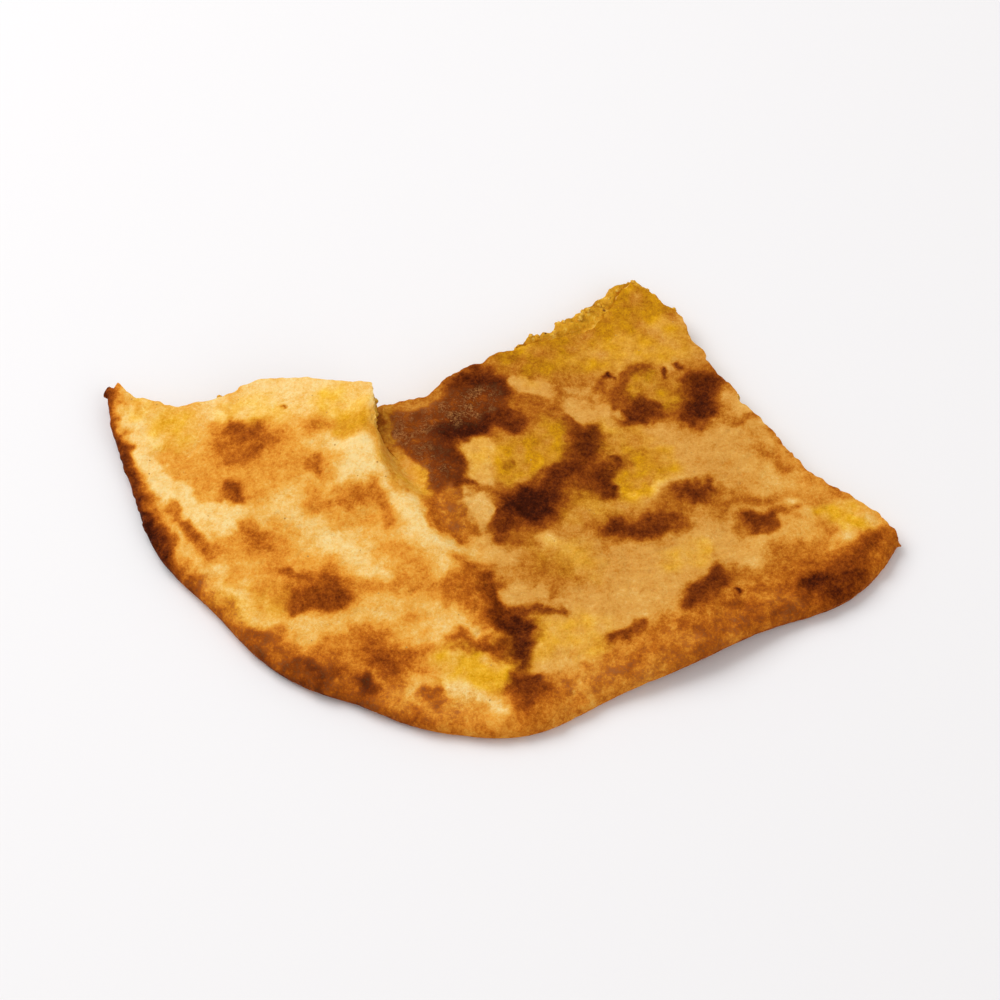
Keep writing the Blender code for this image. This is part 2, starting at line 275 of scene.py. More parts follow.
@dataclass(frozen=True)
class Plan:
    """Outline of the piece: the rim and the two cut sides, as places that the knife line bends at."""

    rim: Rim = Rim()
    tear: Tear = Tear()
    cut_point: Pair = (23.0, 48.5)
    right_corner: Pair = (70.8, -8.4)
    left_tip: Pair = (-70.8, 23.0)
    right_cut: tuple = (
        (68.0, -4.4), (54.0, 6.8), (45.5, 17.8), (38.6, 27.8), (34.4, 34.6), (32.2, 40.6), (28.0, 45.2),
    )
    near_cut: tuple = ((18.0, 44.2), (9.4, 37.0), (2.6, 32.3), (-7.4, 26.7), (-13.0, 22.1), (-21.0, 19.8))
    far_cut: tuple = (
        (-36.0, 19.5), (-40.6, 22.2), (-44.5, 22.9), (-48.8, 21.2), (-57.0, 19.0), (-64.0, 21.2),
    )
    tip_nibs: tuple = ((-66.8, 22.9), (-68.3, 25.0), (-69.2, 24.0), (-70.2, 24.7))
    samples: int = 24
    ragged: float = 0.34
    ragged_end: float = 3.0
    frays: float = 4.5
    fine_frays: float = 1.1
    seeds: tuple = (11, 23, 37)

    def curve(self, places: tuple, spacing: float) -> Array:
        """Even points along a smooth curve through the places, both ends included."""
        places = np.array(places, float)
        ends = np.vstack([2 * places[0] - places[1], places, 2 * places[-1] - places[-2]])
        runs = []
        for before, start, end, after in zip(ends, ends[1:], ends[2:], ends[3:]):
            t = np.linspace(0.0, 1.0, self.samples, endpoint=False)[:, None]
            bend = (2 * before - 5 * start + 4 * end - after) * t ** 2
            turn = (3 * start - before - 3 * end + after) * t ** 3
            runs.append(start + ((end - before) * t + bend + turn) / 2)
        line = np.vstack(runs + [places[-1:]])
        along = np.concatenate([[0.0], np.cumsum(np.hypot(*np.diff(line, axis=0).T))])
        stations = np.linspace(0.0, along[-1], round(along[-1] / spacing) + 1)
        return np.column_stack([np.interp(stations, along, line[:, axis]) for axis in (0, 1)])

    def torn(self, line: Array, seed: int) -> Array:
        """Roughen a cut line across its run, except at its ends."""
        way = unit(np.gradient(line, axis=0))
        away = np.minimum(np.hypot(*(line - line[0]).T), np.hypot(*(line - line[-1]).T))
        rough = Grain(seed, self.frays, 3).at(line) + 0.5 * Grain(seed + 9, self.fine_frays).at(line)
        offset = self.ragged * rough * smooth(away / self.ragged_end)
        return line + offset[:, None] * np.column_stack([way[:, 1], -way[:, 0]])

    def cut_side(self, spacing: float) -> Array:
        """The whole cut side, from the right corner round the tear to the left tip."""
        near_bank, far_bank = self.tear.banks(spacing)
        runs = (
            (self.right_corner, *self.right_cut, self.cut_point),
            (self.cut_point, *self.near_cut, near_bank[0]),
            (far_bank[-1], *self.far_cut, self.tip_nibs[0]),
        )
        right, near, far = (self.torn(self.curve(run, spacing), seed) for run, seed in zip(runs, self.seeds))
        tip = self.curve((*self.tip_nibs, self.left_tip), spacing)
        return np.vstack([right, near[1:-1], near_bank, far_bank[:-1], far, tip[1:]])

    def edge(self, spacing: float, inset: float = 0.0) -> Array:
        """Points along the rim from the left tip to the right corner."""
        return self.rim.points(self.left_tip, self.right_corner, inset, spacing)


@dataclass(frozen=True)
class Layers:
    """Heights of the skins and the potato over the plan."""

    plan: Plan = Plan()
    thickness: float = 4.7
    rim_thickness: float = 3.7
    rim_taper: float = 9.0
    round_top: float = 3.2
    round_bottom: float = 1.8
    rim_edge: float = 0.15
    skin: float = 1.15
    skin_least: float = 0.7
    thin_share: float = 0.25
    contact: float = 0.03
    bare_depth: float = 4.2
    bare: Swell = Swell((13.0, 41.5), (15.0, 7.5), 0.8)
    bare_way: Pair = (0.45, -0.89)
    rest_depth: float = 0.5
    rest_blend: float = 0.5
    swells: tuple = (
        Swell((-10.0, -4.0), (36.0, 25.0), 3.7),
        Swell((1.0, 31.0), (15.0, 10.0), 1.7),
        Swell((36.0, -31.0), (20.0, 12.0), 2.4),
        Swell((-71.0, 23.0), (9.0, 12.0), 2.2),
        Swell((44.0, 20.0), (10.0, 9.0), 1.1),
    )
    uneven_seed: int = 7
    uneven_waves: int = 16
    uneven_lengths: Pair = (9.0, 24.0)
    uneven_height: float = 0.22
    relief_inset: float = 4.0
    blisters: tuple = (
        Swell((-22.5, 5.0), (13.0, 3.2), 1.1, -62.0),
        Swell((-14.5, -9.0), (12.0, 3.4), 1.0, -55.0),
        Swell((-15.5, 2.5), (8.0, 1.8), -0.9, -55.0),
        Swell((-4.5, -14.0), (10.0, 2.6), -0.8, -62.0),
        Swell((1.0, -24.0), (8.0, 3.0), -1.1, -70.0),
        Swell((3.5, 12.5), (8.5, 4.5), 0.6, 20.0),
        Swell((24.5, 25.5), (3.0, 2.4), 0.8),
        Swell((21.0, 19.0), (6.0, 3.5), 0.5, 10.0),
        Swell((-45.0, 6.0), (9.0, 6.0), 0.6, 15.0),
        Swell((-33.0, -20.0), (9.0, 5.0), 0.5, -30.0),
        Swell((32.0, 2.0), (14.0, 5.0), 0.5, -18.0),
        Swell((-55.0, -2.0), (8.0, 4.0), -0.4, -60.0),
        Swell((45.0, -7.0), (9.0, 3.5), -0.4, 20.0),
        Swell((-10.0, -33.0), (7.0, 4.0), 0.5),
    )

    def underside(self, plan: Array) -> Array:
        """Height of the lower skin's underside, flat where it rests."""
        height = self.plan.tear.lift(plan) - self.rest_depth
        for swell in self.swells:
            height += swell.height * swell.share(plan)
        settled = np.clip(height, 0.0, self.rest_blend) ** 2 / (2 * self.rest_blend)
        return np.where(height > self.rest_blend, height - self.rest_blend / 2, settled)

    def half_round(self, inset: Array, radius: float) -> Array:
        """Share of the half thickness at an inset from the rounded rim."""
        share = np.sqrt(1.0 - (1.0 - np.clip(inset / radius, 0.0, 1.0)) ** 2)
        return self.rim_edge + (1.0 - self.rim_edge) * share

    def relief(self, plan: Array) -> Array:
        """Ridges, blisters, hollows and low waves of the upper skin."""
        draw = np.random.default_rng(self.uneven_seed)
        waves = np.zeros(len(plan))
        for _ in range(self.uneven_waves):
            turn, phase = draw.uniform(0.0, 2 * math.pi, 2)
            along = plan[:, 0] * math.cos(turn) + plan[:, 1] * math.sin(turn)
            waves += np.sin(2 * math.pi * along / draw.uniform(*self.uneven_lengths) + phase)
        height = self.uneven_height * waves / math.sqrt(self.uneven_waves)
        for blister in self.blisters:
            height += blister.height * blister.share(plan)
        return height * smooth(self.plan.rim.inset(plan) / self.relief_inset)

    def height(self, plan: Array, surface: Surface) -> Array:
        """Height of a surface at plan points."""
        inset = self.plan.rim.inset(plan)
        body = self.rim_thickness + (self.thickness - self.rim_thickness) * smooth(inset / self.rim_taper)
        middle = self.underside(plan) + body / 2
        upper = body / 2 * self.half_round(inset, self.round_top)
        lower = body / 2 * self.half_round(inset, self.round_bottom)
        top = upper + self.relief(plan)
        above = np.minimum(np.maximum(upper - self.skin, self.thin_share * upper), top - self.skin_least)
        above = np.where(inset < self.plan.rim.wall / 2, self.thin_share * upper, above)
        below = np.maximum(lower - self.skin, self.thin_share * lower)
        offset = {
            Surface.UPPER: top,
            Surface.CEILING: above,
            Surface.POTATO_TOP: above - self.contact,
            Surface.POTATO_BOTTOM: self.contact - below,
            Surface.FLOOR: -below,
            Surface.LOWER: -lower,
        }
        return middle + offset[surface]

    def place(self, plan: Array, surface: Surface) -> Array:
        """Turn plan points into points in space on a surface."""
        return np.column_stack([plan + self.plan.tear.push(plan), self.height(plan, surface)])

    def drawn_back(self, plan: Array) -> Array:
        """Draw plan points back from the cut where the upper skin is worn off the potato."""
        return plan + self.bare_depth * self.bare.share(plan)[:, None] * np.array(self.bare_way)


class Flat:
    """Flat triangle meshes over an outline in the plan."""

    batch = 1500
    merge = 1e-7
    jitter = 0.18
    clear = 0.6
    seed = 5

    @classmethod
    def away(cls, points: Array, line: Array) -> Array:
        """Distance of each point from a line of points."""
        start, run = line[:-1], np.diff(line, axis=0)
        length = np.maximum((run ** 2).sum(axis=1), 1e-12)
        nearest = []
        for batch in np.array_split(points, max(1, len(points) // cls.batch)):
            offset = batch[:, None, :] - start[None, :, :]
            share = np.clip((offset * run).sum(axis=2) / length, 0.0, 1.0)
            gap = offset - share[..., None] * run
            nearest.append(np.sqrt((gap ** 2).sum(axis=2).min(axis=1)))
        return np.concatenate(nearest)

    @classmethod
    def inside(cls, points: Array, outline: Array) -> Array:
        """True for each point that lies inside an outline."""
        start, end = outline, np.roll(outline, -1, axis=0)
        rise = np.where(end[:, 1] == start[:, 1], 1.0, end[:, 1] - start[:, 1])
        slope = (end[:, 0] - start[:, 0]) / rise
        found = []
        for batch in np.array_split(points, max(1, len(points) // cls.batch)):
            x, y = batch[:, 0, None], batch[:, 1, None]
            crosses = (start[:, 1] > y) != (end[:, 1] > y)
            found.append((crosses & (x < start[:, 0] + (y - start[:, 1]) * slope)).sum(axis=1) % 2 == 1)
        return np.concatenate(found)

    @classmethod
    def lattice(cls, outline: Array, spacing: float) -> Array:
        """Points of a slightly shaken triangular lattice inside an outline, clear of it."""
        low, high = outline.min(axis=0), outline.max(axis=0)
        rows = np.arange(low[1], high[1], spacing * math.sqrt(0.75))
        columns = np.arange(low[0], high[0], spacing)
        x, y = np.meshgrid(columns, rows)
        x = x + spacing / 2 * (np.arange(len(rows)) % 2)[:, None]
        points = np.column_stack([x.ravel(), y.ravel()])
        draw = np.random.default_rng(cls.seed)
        points += draw.uniform(-cls.jitter, cls.jitter, points.shape) * spacing
        points = points[cls.inside(points, outline)]
        return points[cls.away(points, np.vstack([outline, outline[:1]])) > cls.clear * spacing]

    @classmethod
    def mesh(cls, outline: Array, inner: Array) -> tuple[Array, Array]:
        """Triangulate an outline and the points inside it.

        Args:
            outline: the outline's points, anticlockwise.
            inner: points inside it.

        Returns:
            All the points, outline first, and the triangles as rows of three indices.
        """
        points = np.vstack([outline, inner])
        vectors = [Vector(point) for point in points.tolist()]
        made = delaunay_2d_cdt(vectors, [], [list(range(len(outline)))], 1, cls.merge, True)
        source = np.array([origin[0] for origin in made[3]])
        triangles = source[np.array([list(face) for face in made[2]])]
        return points, triangles[cls.inside(points[triangles].mean(axis=1), outline)]


@dataclass
class Shell:
    """A closed mesh put together from sheets and strips, in millimetres."""

    points: list = field(default_factory=list)
    faces: list = field(default_factory=list)
    count: int = 0

    def add(self, points: Array) -> Array:
        """Add points, and return their indices."""
        self.points.append(points)
        self.count += len(points)
        return np.arange(self.count - len(points), self.count)

    def sheet(self, corners: Array, triangles: Array, up: bool) -> None:
        """Add a sheet of triangles that faces up or down."""
        self.faces += corners[triangles if up else triangles[:, ::-1]].tolist()

    def strip(self, top: Array, bottom: Array) -> None:
        """Add a strip of quads between two rows of corners that run anticlockwise."""
        self.faces += np.column_stack([top[:-1], bottom[:-1], bottom[1:], top[1:]]).tolist()

    def mesh(self, name: str) -> bpy.types.Mesh:
        """Make a Blender mesh in metres, closed, in triangles and facing out."""
        data = bpy.data.meshes.new(name)
        data.from_pydata((np.vstack(self.points) * MM).tolist(), [], self.faces)
        work = bmesh.new()
        work.from_mesh(data)
        bmesh.ops.triangulate(work, faces=work.faces)
        bmesh.ops.recalc_face_normals(work, faces=work.faces)
        work.to_mesh(data)
        work.free()
        return data


def read_points(data: bpy.types.Mesh) -> Array:
    """A mesh's vertices in millimetres."""
    flat = np.empty(3 * len(data.vertices), np.float32)
    data.vertices.foreach_get("co", flat)
    return flat.reshape(-1, 3).astype(float) / MM


def push_out(data: bpy.types.Mesh, amount: Array) -> None:
    """Move each vertex out by its own amount in millimetres, but none below the resting plane."""
    normals = np.empty(3 * len(data.vertices), np.float32)
    data.vertex_normals.foreach_get("vector", normals)
    moved = read_points(data) + amount[:, None] * normals.reshape(-1, 3)
    moved[:, 2] = np.maximum(moved[:, 2], 0.0)
    data.vertices.foreach_set("co", (moved * MM).astype(np.float32).ravel())
    data.update()


def write_attribute(data: bpy.types.Mesh, name: str, values: Array) -> None:
    """Store one number for each vertex."""
    attribute = data.attributes.new(name, "FLOAT", "POINT")
    attribute.data.foreach_set("value", values.astype(np.float32))


def dress(data: bpy.types.Mesh, name: str, material: bpy.types.Material) -> bpy.types.Object:
    """Turn a mesh into a smooth piece that rides on the model's one body.

    Args:
        data: the finished mesh, in place.
        name: the piece's name.
        material: its finish.

    Returns:
        The piece.
    """
    data.materials.clear()
    data.materials.append(material)
    data.shade_smooth()
    data.set_sharp_from_angle(angle=SHARP_FROM)
    piece = bpy.data.objects.new(name, data)
    bpy.context.scene.collection.objects.link(piece)
    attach(piece, "root")
    LOG.info("%s: %d faces", name, len(data.polygons))
    return piece


@dataclass(frozen=True)
class Dab:
    """One stroke of toasting: how strong it is, its half width, and the places it runs between."""

    level: float
    width: float
    path: tuple
    soft: float = 1.0
    blur_least: float = 1.1
    blur_share: float = 0.75

    def mask(self, plan: Array) -> Array:
        """Cover from 0 to 1 at plan points."""
        line = np.array(self.path if len(self.path) > 1 else self.path * 2, float)
        blur = (self.blur_least + self.blur_share * self.width) * self.soft
        near = np.abs(plan - line.mean(axis=0)).max(axis=1) < np.ptp(line, axis=0).max() + self.width + blur
        cover = np.zeros(len(plan))
        if near.any():
            cover[near] = smooth((self.width + blur / 2 - Flat.away(plan[near], line)) / blur)
        return cover


def dabs(*rows: tuple, soft: float = 1.0) -> tuple[Dab, ...]:
    """Dabs from rows of level, half width and then places, all with edges of one softness."""
    return tuple(Dab(level, width, tuple(path), soft) for level, width, *path in rows)


@dataclass(frozen=True)
class Toasting:
    """Where the griddle browned the upper skin, painted in order over a mottled pale ground, with some
    painted shade on the right of the tear and beside the lifted lobe.

    rim_band has a row for each angle round the rim: the toast level at the edge, that at the
    band's inner side, and the band's width. warp has a row for each size of the shake that breaks
    the dabs' edges: the size and how far it reaches.
    """

    plan: Plan = Plan()
    rim_band: tuple = (
        (-180.0, 0.70, 0.50, 3.6), (-174.0, 0.80, 0.52, 4.2), (-168.0, 0.84, 0.52, 4.4),
        (-163.0, 0.88, 0.54, 4.6), (-158.0, 0.94, 0.56, 4.8), (-153.0, 0.92, 0.54, 4.4),
        (-148.0, 0.84, 0.50, 3.8), (-142.0, 0.66, 0.46, 3.4), (-135.0, 0.60, 0.46, 2.8),
        (-129.0, 0.68, 0.50, 3.6), (-123.0, 0.76, 0.54, 5.0), (-117.0, 0.78, 0.54, 5.0),
        (-111.0, 0.68, 0.50, 4.5), (-104.0, 0.55, 0.46, 4.5), (-96.0, 0.51, 0.45, 4.5),
        (-88.0, 0.53, 0.46, 5.5), (-78.0, 0.52, 0.48, 7.5), (-62.0, 0.56, 0.51, 10.0),
        (-50.0, 0.60, 0.53, 11.0), (-40.0, 0.68, 0.56, 10.0), (-33.0, 0.64, 0.55, 7.5),
        (-26.0, 0.56, 0.52, 4.0),
    )
    grounds: tuple = dabs(
        (0.12, 5.0, (-42.0, 19.0), (-25.0, 19.0)),
        (0.30, 4.0, (-56.0, 18.0), (-56.0, 13.0)),
        (0.07, 3.6, (-27.0, 5.0), (-22.0, 2.0)),
        (0.10, 3.0, (-19.0, 2.0), (-17.0, -4.0), (-11.0, -11.0)),
        (0.16, 3.0, (-37.0, 0.0), (-36.0, -9.0)),
        (0.20, 4.0, (-40.0, -27.0), (-27.0, -27.0)),
        (0.24, 4.5, (-24.0, -26.0), (-11.0, -25.0)),
        (0.24, 4.0, (2.0, -12.0), (-5.0, -12.0)),
        (0.27, 7.0, (14.0, -25.0), (26.0, -20.0), (33.0, -13.0)),
        (0.34, 5.0, (14.0, -16.0), (22.0, -12.0)),
        (0.34, 6.0, (32.0, 10.0), (42.0, 7.0)),
        (0.27, 4.5, (38.0, -12.0), (52.0, -7.0)),
        (0.40, 5.0, (10.0, -3.0), (18.0, -4.0)),
        (0.26, 3.5, (6.0, -30.0), (15.0, -31.0)),
        (0.32, 5.0, (16.0, 33.0), (32.0, 34.0)),
        (0.46, 2.2, (8.0, 33.0), (13.0, 37.0), (16.0, 36.0)),
        (0.44, 2.0, (22.0, 38.0), (27.0, 36.0)),
        (0.40, 5.0, (5.0, 29.0), (12.0, 31.0)),
        (0.42, 4.5, (18.0, 10.0), (24.0, 12.0)),
        (0.30, 4.0, (30.0, 13.0), (38.0, 13.0)),
    )
    strokes: tuple = dabs(
        (0.38, 3.0, (-58.0, 9.0), (-54.0, 4.0)),
        (0.44, 3.4, (-50.0, 11.0), (-41.0, 9.0)),
        (0.39, 4.2, (-51.0, 4.0), (-38.0, 3.0)),
        (0.37, 2.4, (-50.0, -2.0), (-43.0, -1.5)),
        (0.40, 2.4, (-38.0, 5.0), (-31.0, 3.0)),
        (0.68, 2.2, (-46.5, 11.8), (-43.6, 11.4)),
        (0.63, 1.5, (-48.0, 7.6), (-44.5, 7.4)),
        (0.63, 1.6, (-42.6, 8.2), (-40.0, 8.2)),
        (0.74, 1.5, (-47.4, 0.8), (-46.8, -1.6)),
        (0.62, 0.9, (-32.6, 3.4), (-31.6, 2.2)),
        (0.48, 2.0, (-33.0, 11.0), (-31.0, 12.5)),
        (0.36, 2.2, (-27.0, 11.5), (-21.8, 8.6)),
        (0.44, 0.7, (-19.0, 3.4), (-16.4, -1.0)),
        (0.34, 2.6, (-20.4, 8.4), (-15.4, 1.6)),
        (0.46, 2.4, (-33.0, -3.6), (-27.5, -3.4)),
        (0.54, 1.9, (-27.0, -2.6), (-21.0, -2.4)),
        (0.52, 1.6, (-20.6, -3.0), (-20.0, -8.0)),
        (0.36, 2.8, (-29.0, -7.0), (-23.0, -7.0)),
        (0.54, 1.7, (-56.6, -1.6), (-54.0, -7.0), (-50.6, -11.6)),
        (0.66, 0.8, (-55.0, -4.4), (-52.6, -9.0)),
        (0.39, 3.0, (-47.0, -10.6), (-39.0, -11.0)),
        (0.57, 2.1, (-43.0, -10.0), (-41.0, -11.0)),
        (0.43, 3.0, (-39.6, -13.0), (-38.0, -20.0)),
        (0.44, 4.6, (-37.0, -21.0), (-28.0, -20.6)),
        (0.70, 2.0, (-35.4, -22.4), (-33.0, -21.6)),
        (0.74, 2.4, (-31.4, -21.4), (-28.4, -20.6)),
        (0.66, 0.9, (-37.6, -17.6), (-33.6, -18.4)),
        (0.46, 1.7, (-26.0, -20.0), (-17.0, -20.6), (-9.0, -21.0)),
        (0.40, 2.6, (-18.6, -13.6), (-14.6, -18.0)),
        (0.42, 1.2, (-17.0, -26.5), (-14.5, -26.0)),
        (0.47, 2.6, (-29.0, -31.5), (-22.0, -31.5)),
        (0.60, 2.6, (-6.0, -16.6), (-2.6, -17.6)),
        (0.57, 3.6, (-6.4, -21.0), (-1.5, -25.5)),
        (0.78, 1.8, (-2.2, -19.6), (-0.6, -24.0)),
        (0.83, 3.0, (0.4, -26.6), (3.4, -27.6)),
        (0.90, 2.2, (2.2, -28.4), (3.4, -32.0)),
        (0.84, 1.5, (2.6, -32.0), (3.6, -34.6)),
        (0.76, 0.8, (4.0, -26.0), (10.4, -24.2)),
        (0.60, 0.5, (6.0, -22.6), (10.0, -20.8)),
        (0.66, 1.5, (-8.6, -30.2), (-5.0, -32.2), (0.0, -33.0)),
        (0.74, 1.0, (-3.4, -31.6), (0.6, -31.4)),
        (0.55, 4.0, (-21.6, -32.0), (-17.6, -36.4)),
        (0.72, 2.6, (-21.0, -34.0), (-18.4, -35.6)),
        (0.62, 1.6, (-17.0, -32.6), (-14.6, -34.0)),
        (0.56, 2.8, (-25.0, -37.6), (-23.6, -39.4)),
        (0.88, 1.5, (-24.8, -38.0), (-23.8, -39.2)),
        (0.62, 3.2, (-38.0, -32.0), (-30.0, -36.0)),
        (0.86, 1.5, (-33.4, -35.0), (-31.0, -37.4)),
        (0.78, 1.2, (-36.6, -34.0), (-34.6, -35.2)),
        (0.70, 1.7, (-44.0, -28.0), (-41.6, -29.6)),
        (0.74, 1.1, (-58.2, -12.0), (-57.2, -13.4)),
        (0.66, 1.0, (-55.4, -15.4), (-54.4, -16.4)),
        (0.64, 1.3, (-11.4, -41.4), (-10.6, -43.0)),
        (0.58, 3.6, (3.6, -39.0), (6.6, -42.0)),
        (0.82, 2.0, (4.0, -39.0), (6.6, -39.4)),
        (0.78, 1.5, (6.0, -40.4), (5.0, -43.0)),
        (0.50, 2.8, (5.0, -15.6), (11.0, -18.0)),
        (0.50, 0.9, (4.6, -11.0), (7.0, -12.2)),
        soft=1.25,
    )
    char: tuple = dabs(
        # The first row is burnt dough and also painted shadow, where the lifted lobe's edge shades the bank
        # beside the tear.
        (0.64, 4.0, (-25.0, 19.0), (-21.0, 14.0), (-19.0, 11.0)),
        (0.82, 5.6, (-12.0, 13.0), (-7.0, 18.0), (-3.0, 23.0)),
        (0.80, 4.2, (-13.6, 13.0), (-10.4, 3.0)),
        (0.76, 3.2, (-17.4, 14.6), (-15.4, 9.0)),
        (0.88, 2.6, (-4.0, 24.6), (0.6, 22.4)),
        (0.52, 1.3, (-26.0, 20.0), (-20.0, 19.4), (-13.0, 21.6), (-7.6, 26.4), (1.0, 30.6), (8.0, 30.0)),
        (0.84, 3.0, (-3.0, 18.0), (1.6, 16.4)),
        (0.56, 3.6, (4.0, 21.0), (7.0, 17.0), (13.0, 16.6)),
        (0.54, 1.3, (9.4, 24.0), (11.4, 21.4), (11.0, 17.0)),
        (0.50, 2.0, (2.0, 28.0), (9.0, 26.6), (13.0, 25.6)),
        (0.96, 2.8, (-9.0, 12.4), (-4.0, 13.8)),
        (0.86, 2.6, (-11.0, 9.0), (-9.0, 3.6)),
        (0.82, 1.6, (-7.4, 4.4), (-6.6, 1.6)),
        (0.56, 3.4, (-11.0, -1.0), (-9.0, -7.0)),
        (0.60, 1.1, (-13.0, -1.0), (-11.6, -8.0), (-8.0, -10.0)),
        (0.66, 0.9, (-6.8, -1.5), (-6.6, -5.0), (-4.6, -8.0)),
        (0.74, 4.2, (1.6, -7.0), (6.0, -2.0), (12.0, 4.0)),
        (0.62, 5.2, (2.0, -6.0), (9.0, 0.6)),
        (0.74, 3.6, (13.0, 5.0), (15.0, 10.0), (14.6, 13.0)),
        (0.72, 3.2, (14.0, 3.4), (18.6, 3.0)),
        (0.80, 2.0, (0.2, -8.6), (2.4, -6.0)),
        (0.96, 3.2, (4.6, -3.0), (7.0, -0.8)),
        (0.86, 2.0, (9.0, 1.6), (12.6, 5.0)),
        (0.87, 1.6, (15.0, 9.0), (15.4, 12.6)),
        (0.82, 2.0, (18.2, 1.2), (19.4, 4.0)),
        (0.82, 0.8, (20.4, 7.2), (21.0, 6.6)),
        (0.56, 0.8, (22.0, 7.4), (25.5, 8.8)),
        (0.62, 0.7, (28.0, 5.4), (28.6, 4.4)),
        (0.60, 2.8, (18.6, -8.0), (24.0, -6.6), (31.0, -5.4)),
        (0.82, 1.7, (19.6, -7.8), (23.6, -6.6), (27.6, -5.8)),
        (0.72, 1.3, (26.0, -4.8), (30.0, -4.4)),
        (0.56, 2.4, (31.0, -1.6), (34.0, 0.6), (38.0, 0.4)),
        (0.82, 1.9, (33.6, 1.4), (36.6, 1.8)),
        (0.55, 1.5, (37.6, 0.2), (42.0, -0.8), (48.6, -0.8)),
        (0.56, 2.0, (42.0, -6.0), (48.0, -5.0)),
        (0.80, 1.4, (45.6, -6.0), (47.6, -5.2)),
        (0.58, 0.9, (48.0, -4.4), (52.5, -2.6)),
        (0.44, 1.8, (55.0, -0.4), (58.0, 0.4)),
        (0.62, 4.0, (37.4, 26.0), (35.0, 19.0)),
        (0.84, 2.9, (37.0, 25.0), (35.0, 20.0)),
        (0.93, 1.6, (35.4, 21.0), (34.8, 18.8)),
        (0.60, 2.4, (20.5, 18.4), (33.0, 19.4)),
        (0.84, 2.1, (23.0, 17.8), (26.6, 18.8)),
        (0.66, 1.7, (21.4, 20.6), (22.6, 25.0)),
        (0.68, 1.8, (23.4, 26.6), (26.0, 27.8)),
        (0.56, 1.3, (42.0, 16.4), (46.0, 17.6)),
        (0.74, 1.2, (19.6, -30.4), (24.4, -28.2)),
        (0.62, 3.2, (33.6, -22.0), (39.4, -17.4)),
        (0.82, 1.9, (33.8, -21.6), (39.0, -17.6)),
        (0.66, 1.7, (32.6, -28.8), (36.0, -28.2)),
        (0.68, 1.3, (40.6, -24.4), (43.0, -23.2)),
        (0.55, 3.4, (50.0, -12.0), (55.0, -13.4)),
        (0.72, 3.2, (54.0, -17.6), (61.0, -17.6)),
        (0.86, 2.0, (55.0, -18.0), (60.5, -18.4)),
        (0.95, 1.4, (54.8, -18.0), (56.2, -17.4)),
        (0.61, 3.0, (59.5, -15.0), (66.0, -9.0)),
        (0.75, 1.5, (60.5, -15.0), (65.8, -9.6)),
        (0.84, 1.1, (61.8, -16.4), (62.8, -15.8)),
        soft=1.2,
    )
    islands: tuple = dabs(
        (0.12, 1.8, (-66.0, 17.6), (-63.6, 10.0), (-59.6, 3.6), (-53.0, -2.2), (-46.0, -6.6)),
        (0.46, 1.2, (-21.2, 18.4), (-20.4, 14.0), (-19.2, 11.6)),
        (0.31, 1.9, (-18.4, 8.6), (-16.4, 5.0), (-15.0, 1.4)),
        (0.24, 2.8, (-4.4, 3.6), (-2.6, 8.6)),
        (0.22, 1.6, (-5.0, 2.4), (-1.0, 2.2)),
        (0.40, 3.4, (2.4, 5.6), (7.4, 9.6)),
        (0.44, 2.8, (4.6, 12.0), (7.6, 12.2)),
        (0.58, 0.6, (0.8, 5.6), (2.4, 6.2)),
        (0.20, 2.3, (-4.6, -3.8), (-3.4, -5.6)),
        (0.28, 1.6, (4.2, 24.2), (7.8, 23.4)),
        (0.30, 2.5, (13.8, 19.4), (18.0, 18.0)),
        (0.38, 1.3, (12.6, 23.4), (16.0, 24.2)),
        (0.44, 2.5, (26.0, 23.6), (29.4, 22.8)),
        (0.28, 1.5, (2.4, -22.6), (6.6, -21.2)),
        (0.25, 3.0, (-8.0, -35.4), (-1.6, -37.0)),
        (0.40, 3.0, (24.0, 3.4), (26.6, 5.8)),
        (0.46, 4.0, (10.0, 34.0), (16.0, 38.6), (27.0, 43.6)),
        (0.27, 2.2, (58.8, -2.4), (63.0, -4.4)),
        soft=0.65,
    )
    specks: tuple = dabs(
        (0.86, 0.55, (29.8, 27.6), (30.0, 26.8)),
        (0.76, 0.50, (32.4, 28.8), (32.8, 28.2)),
        (0.92, 0.55, (18.6, 27.2), (19.4, 26.2)),
        (0.95, 0.36, (42.3, -21.0), (42.8, -21.1)),
        (0.66, 0.45, (-38.4, 17.2), (-38.0, 17.0)),
        soft=0.55,
    )
    turmeric: tuple = dabs(
        (0.95, 3.4, (-9.0, -35.6), (-1.0, -37.4)),
        (0.60, 4.0, (-62.0, 18.0), (-58.0, 15.0)),
        (0.60, 4.0, (-30.0, 16.0), (-24.0, 12.0)),
        (0.40, 3.2, (-47.0, 17.0), (-41.0, 16.0)),
        (0.45, 2.8, (-20.6, 9.0), (-14.4, 1.6)),
        (0.40, 1.6, (-21.0, 18.0), (-19.4, 12.0)),
        (0.95, 4.2, (2.6, 6.4), (8.0, 11.0)),
        (0.40, 3.0, (-4.4, 4.0), (-2.6, 9.0)),
        (0.95, 6.0, (6.0, 32.0), (14.0, 37.0), (27.0, 44.0)),
        (0.60, 5.0, (14.0, 32.0), (31.0, 35.0)),
        (0.85, 3.4, (26.0, 23.6), (29.4, 22.8)),
        (0.95, 4.2, (24.0, 3.0), (27.0, 6.0)),
        (0.80, 2.6, (58.5, -2.8), (63.0, -4.6)),
        (0.50, 4.5, (3.0, -32.0), (15.0, -29.0)),
        (0.55, 4.5, (18.0, 11.0), (23.0, 11.0)),
        (0.35, 3.5, (8.0, -13.0), (14.0, -15.0)),
        (0.35, 3.4, (-47.0, -21.0), (-40.0, -24.0)),
        (0.45, 2.6, (31.0, -13.0), (36.0, -12.0)),
        (0.40, 3.5, (11.0, -1.0), (17.0, -3.0)),
    )
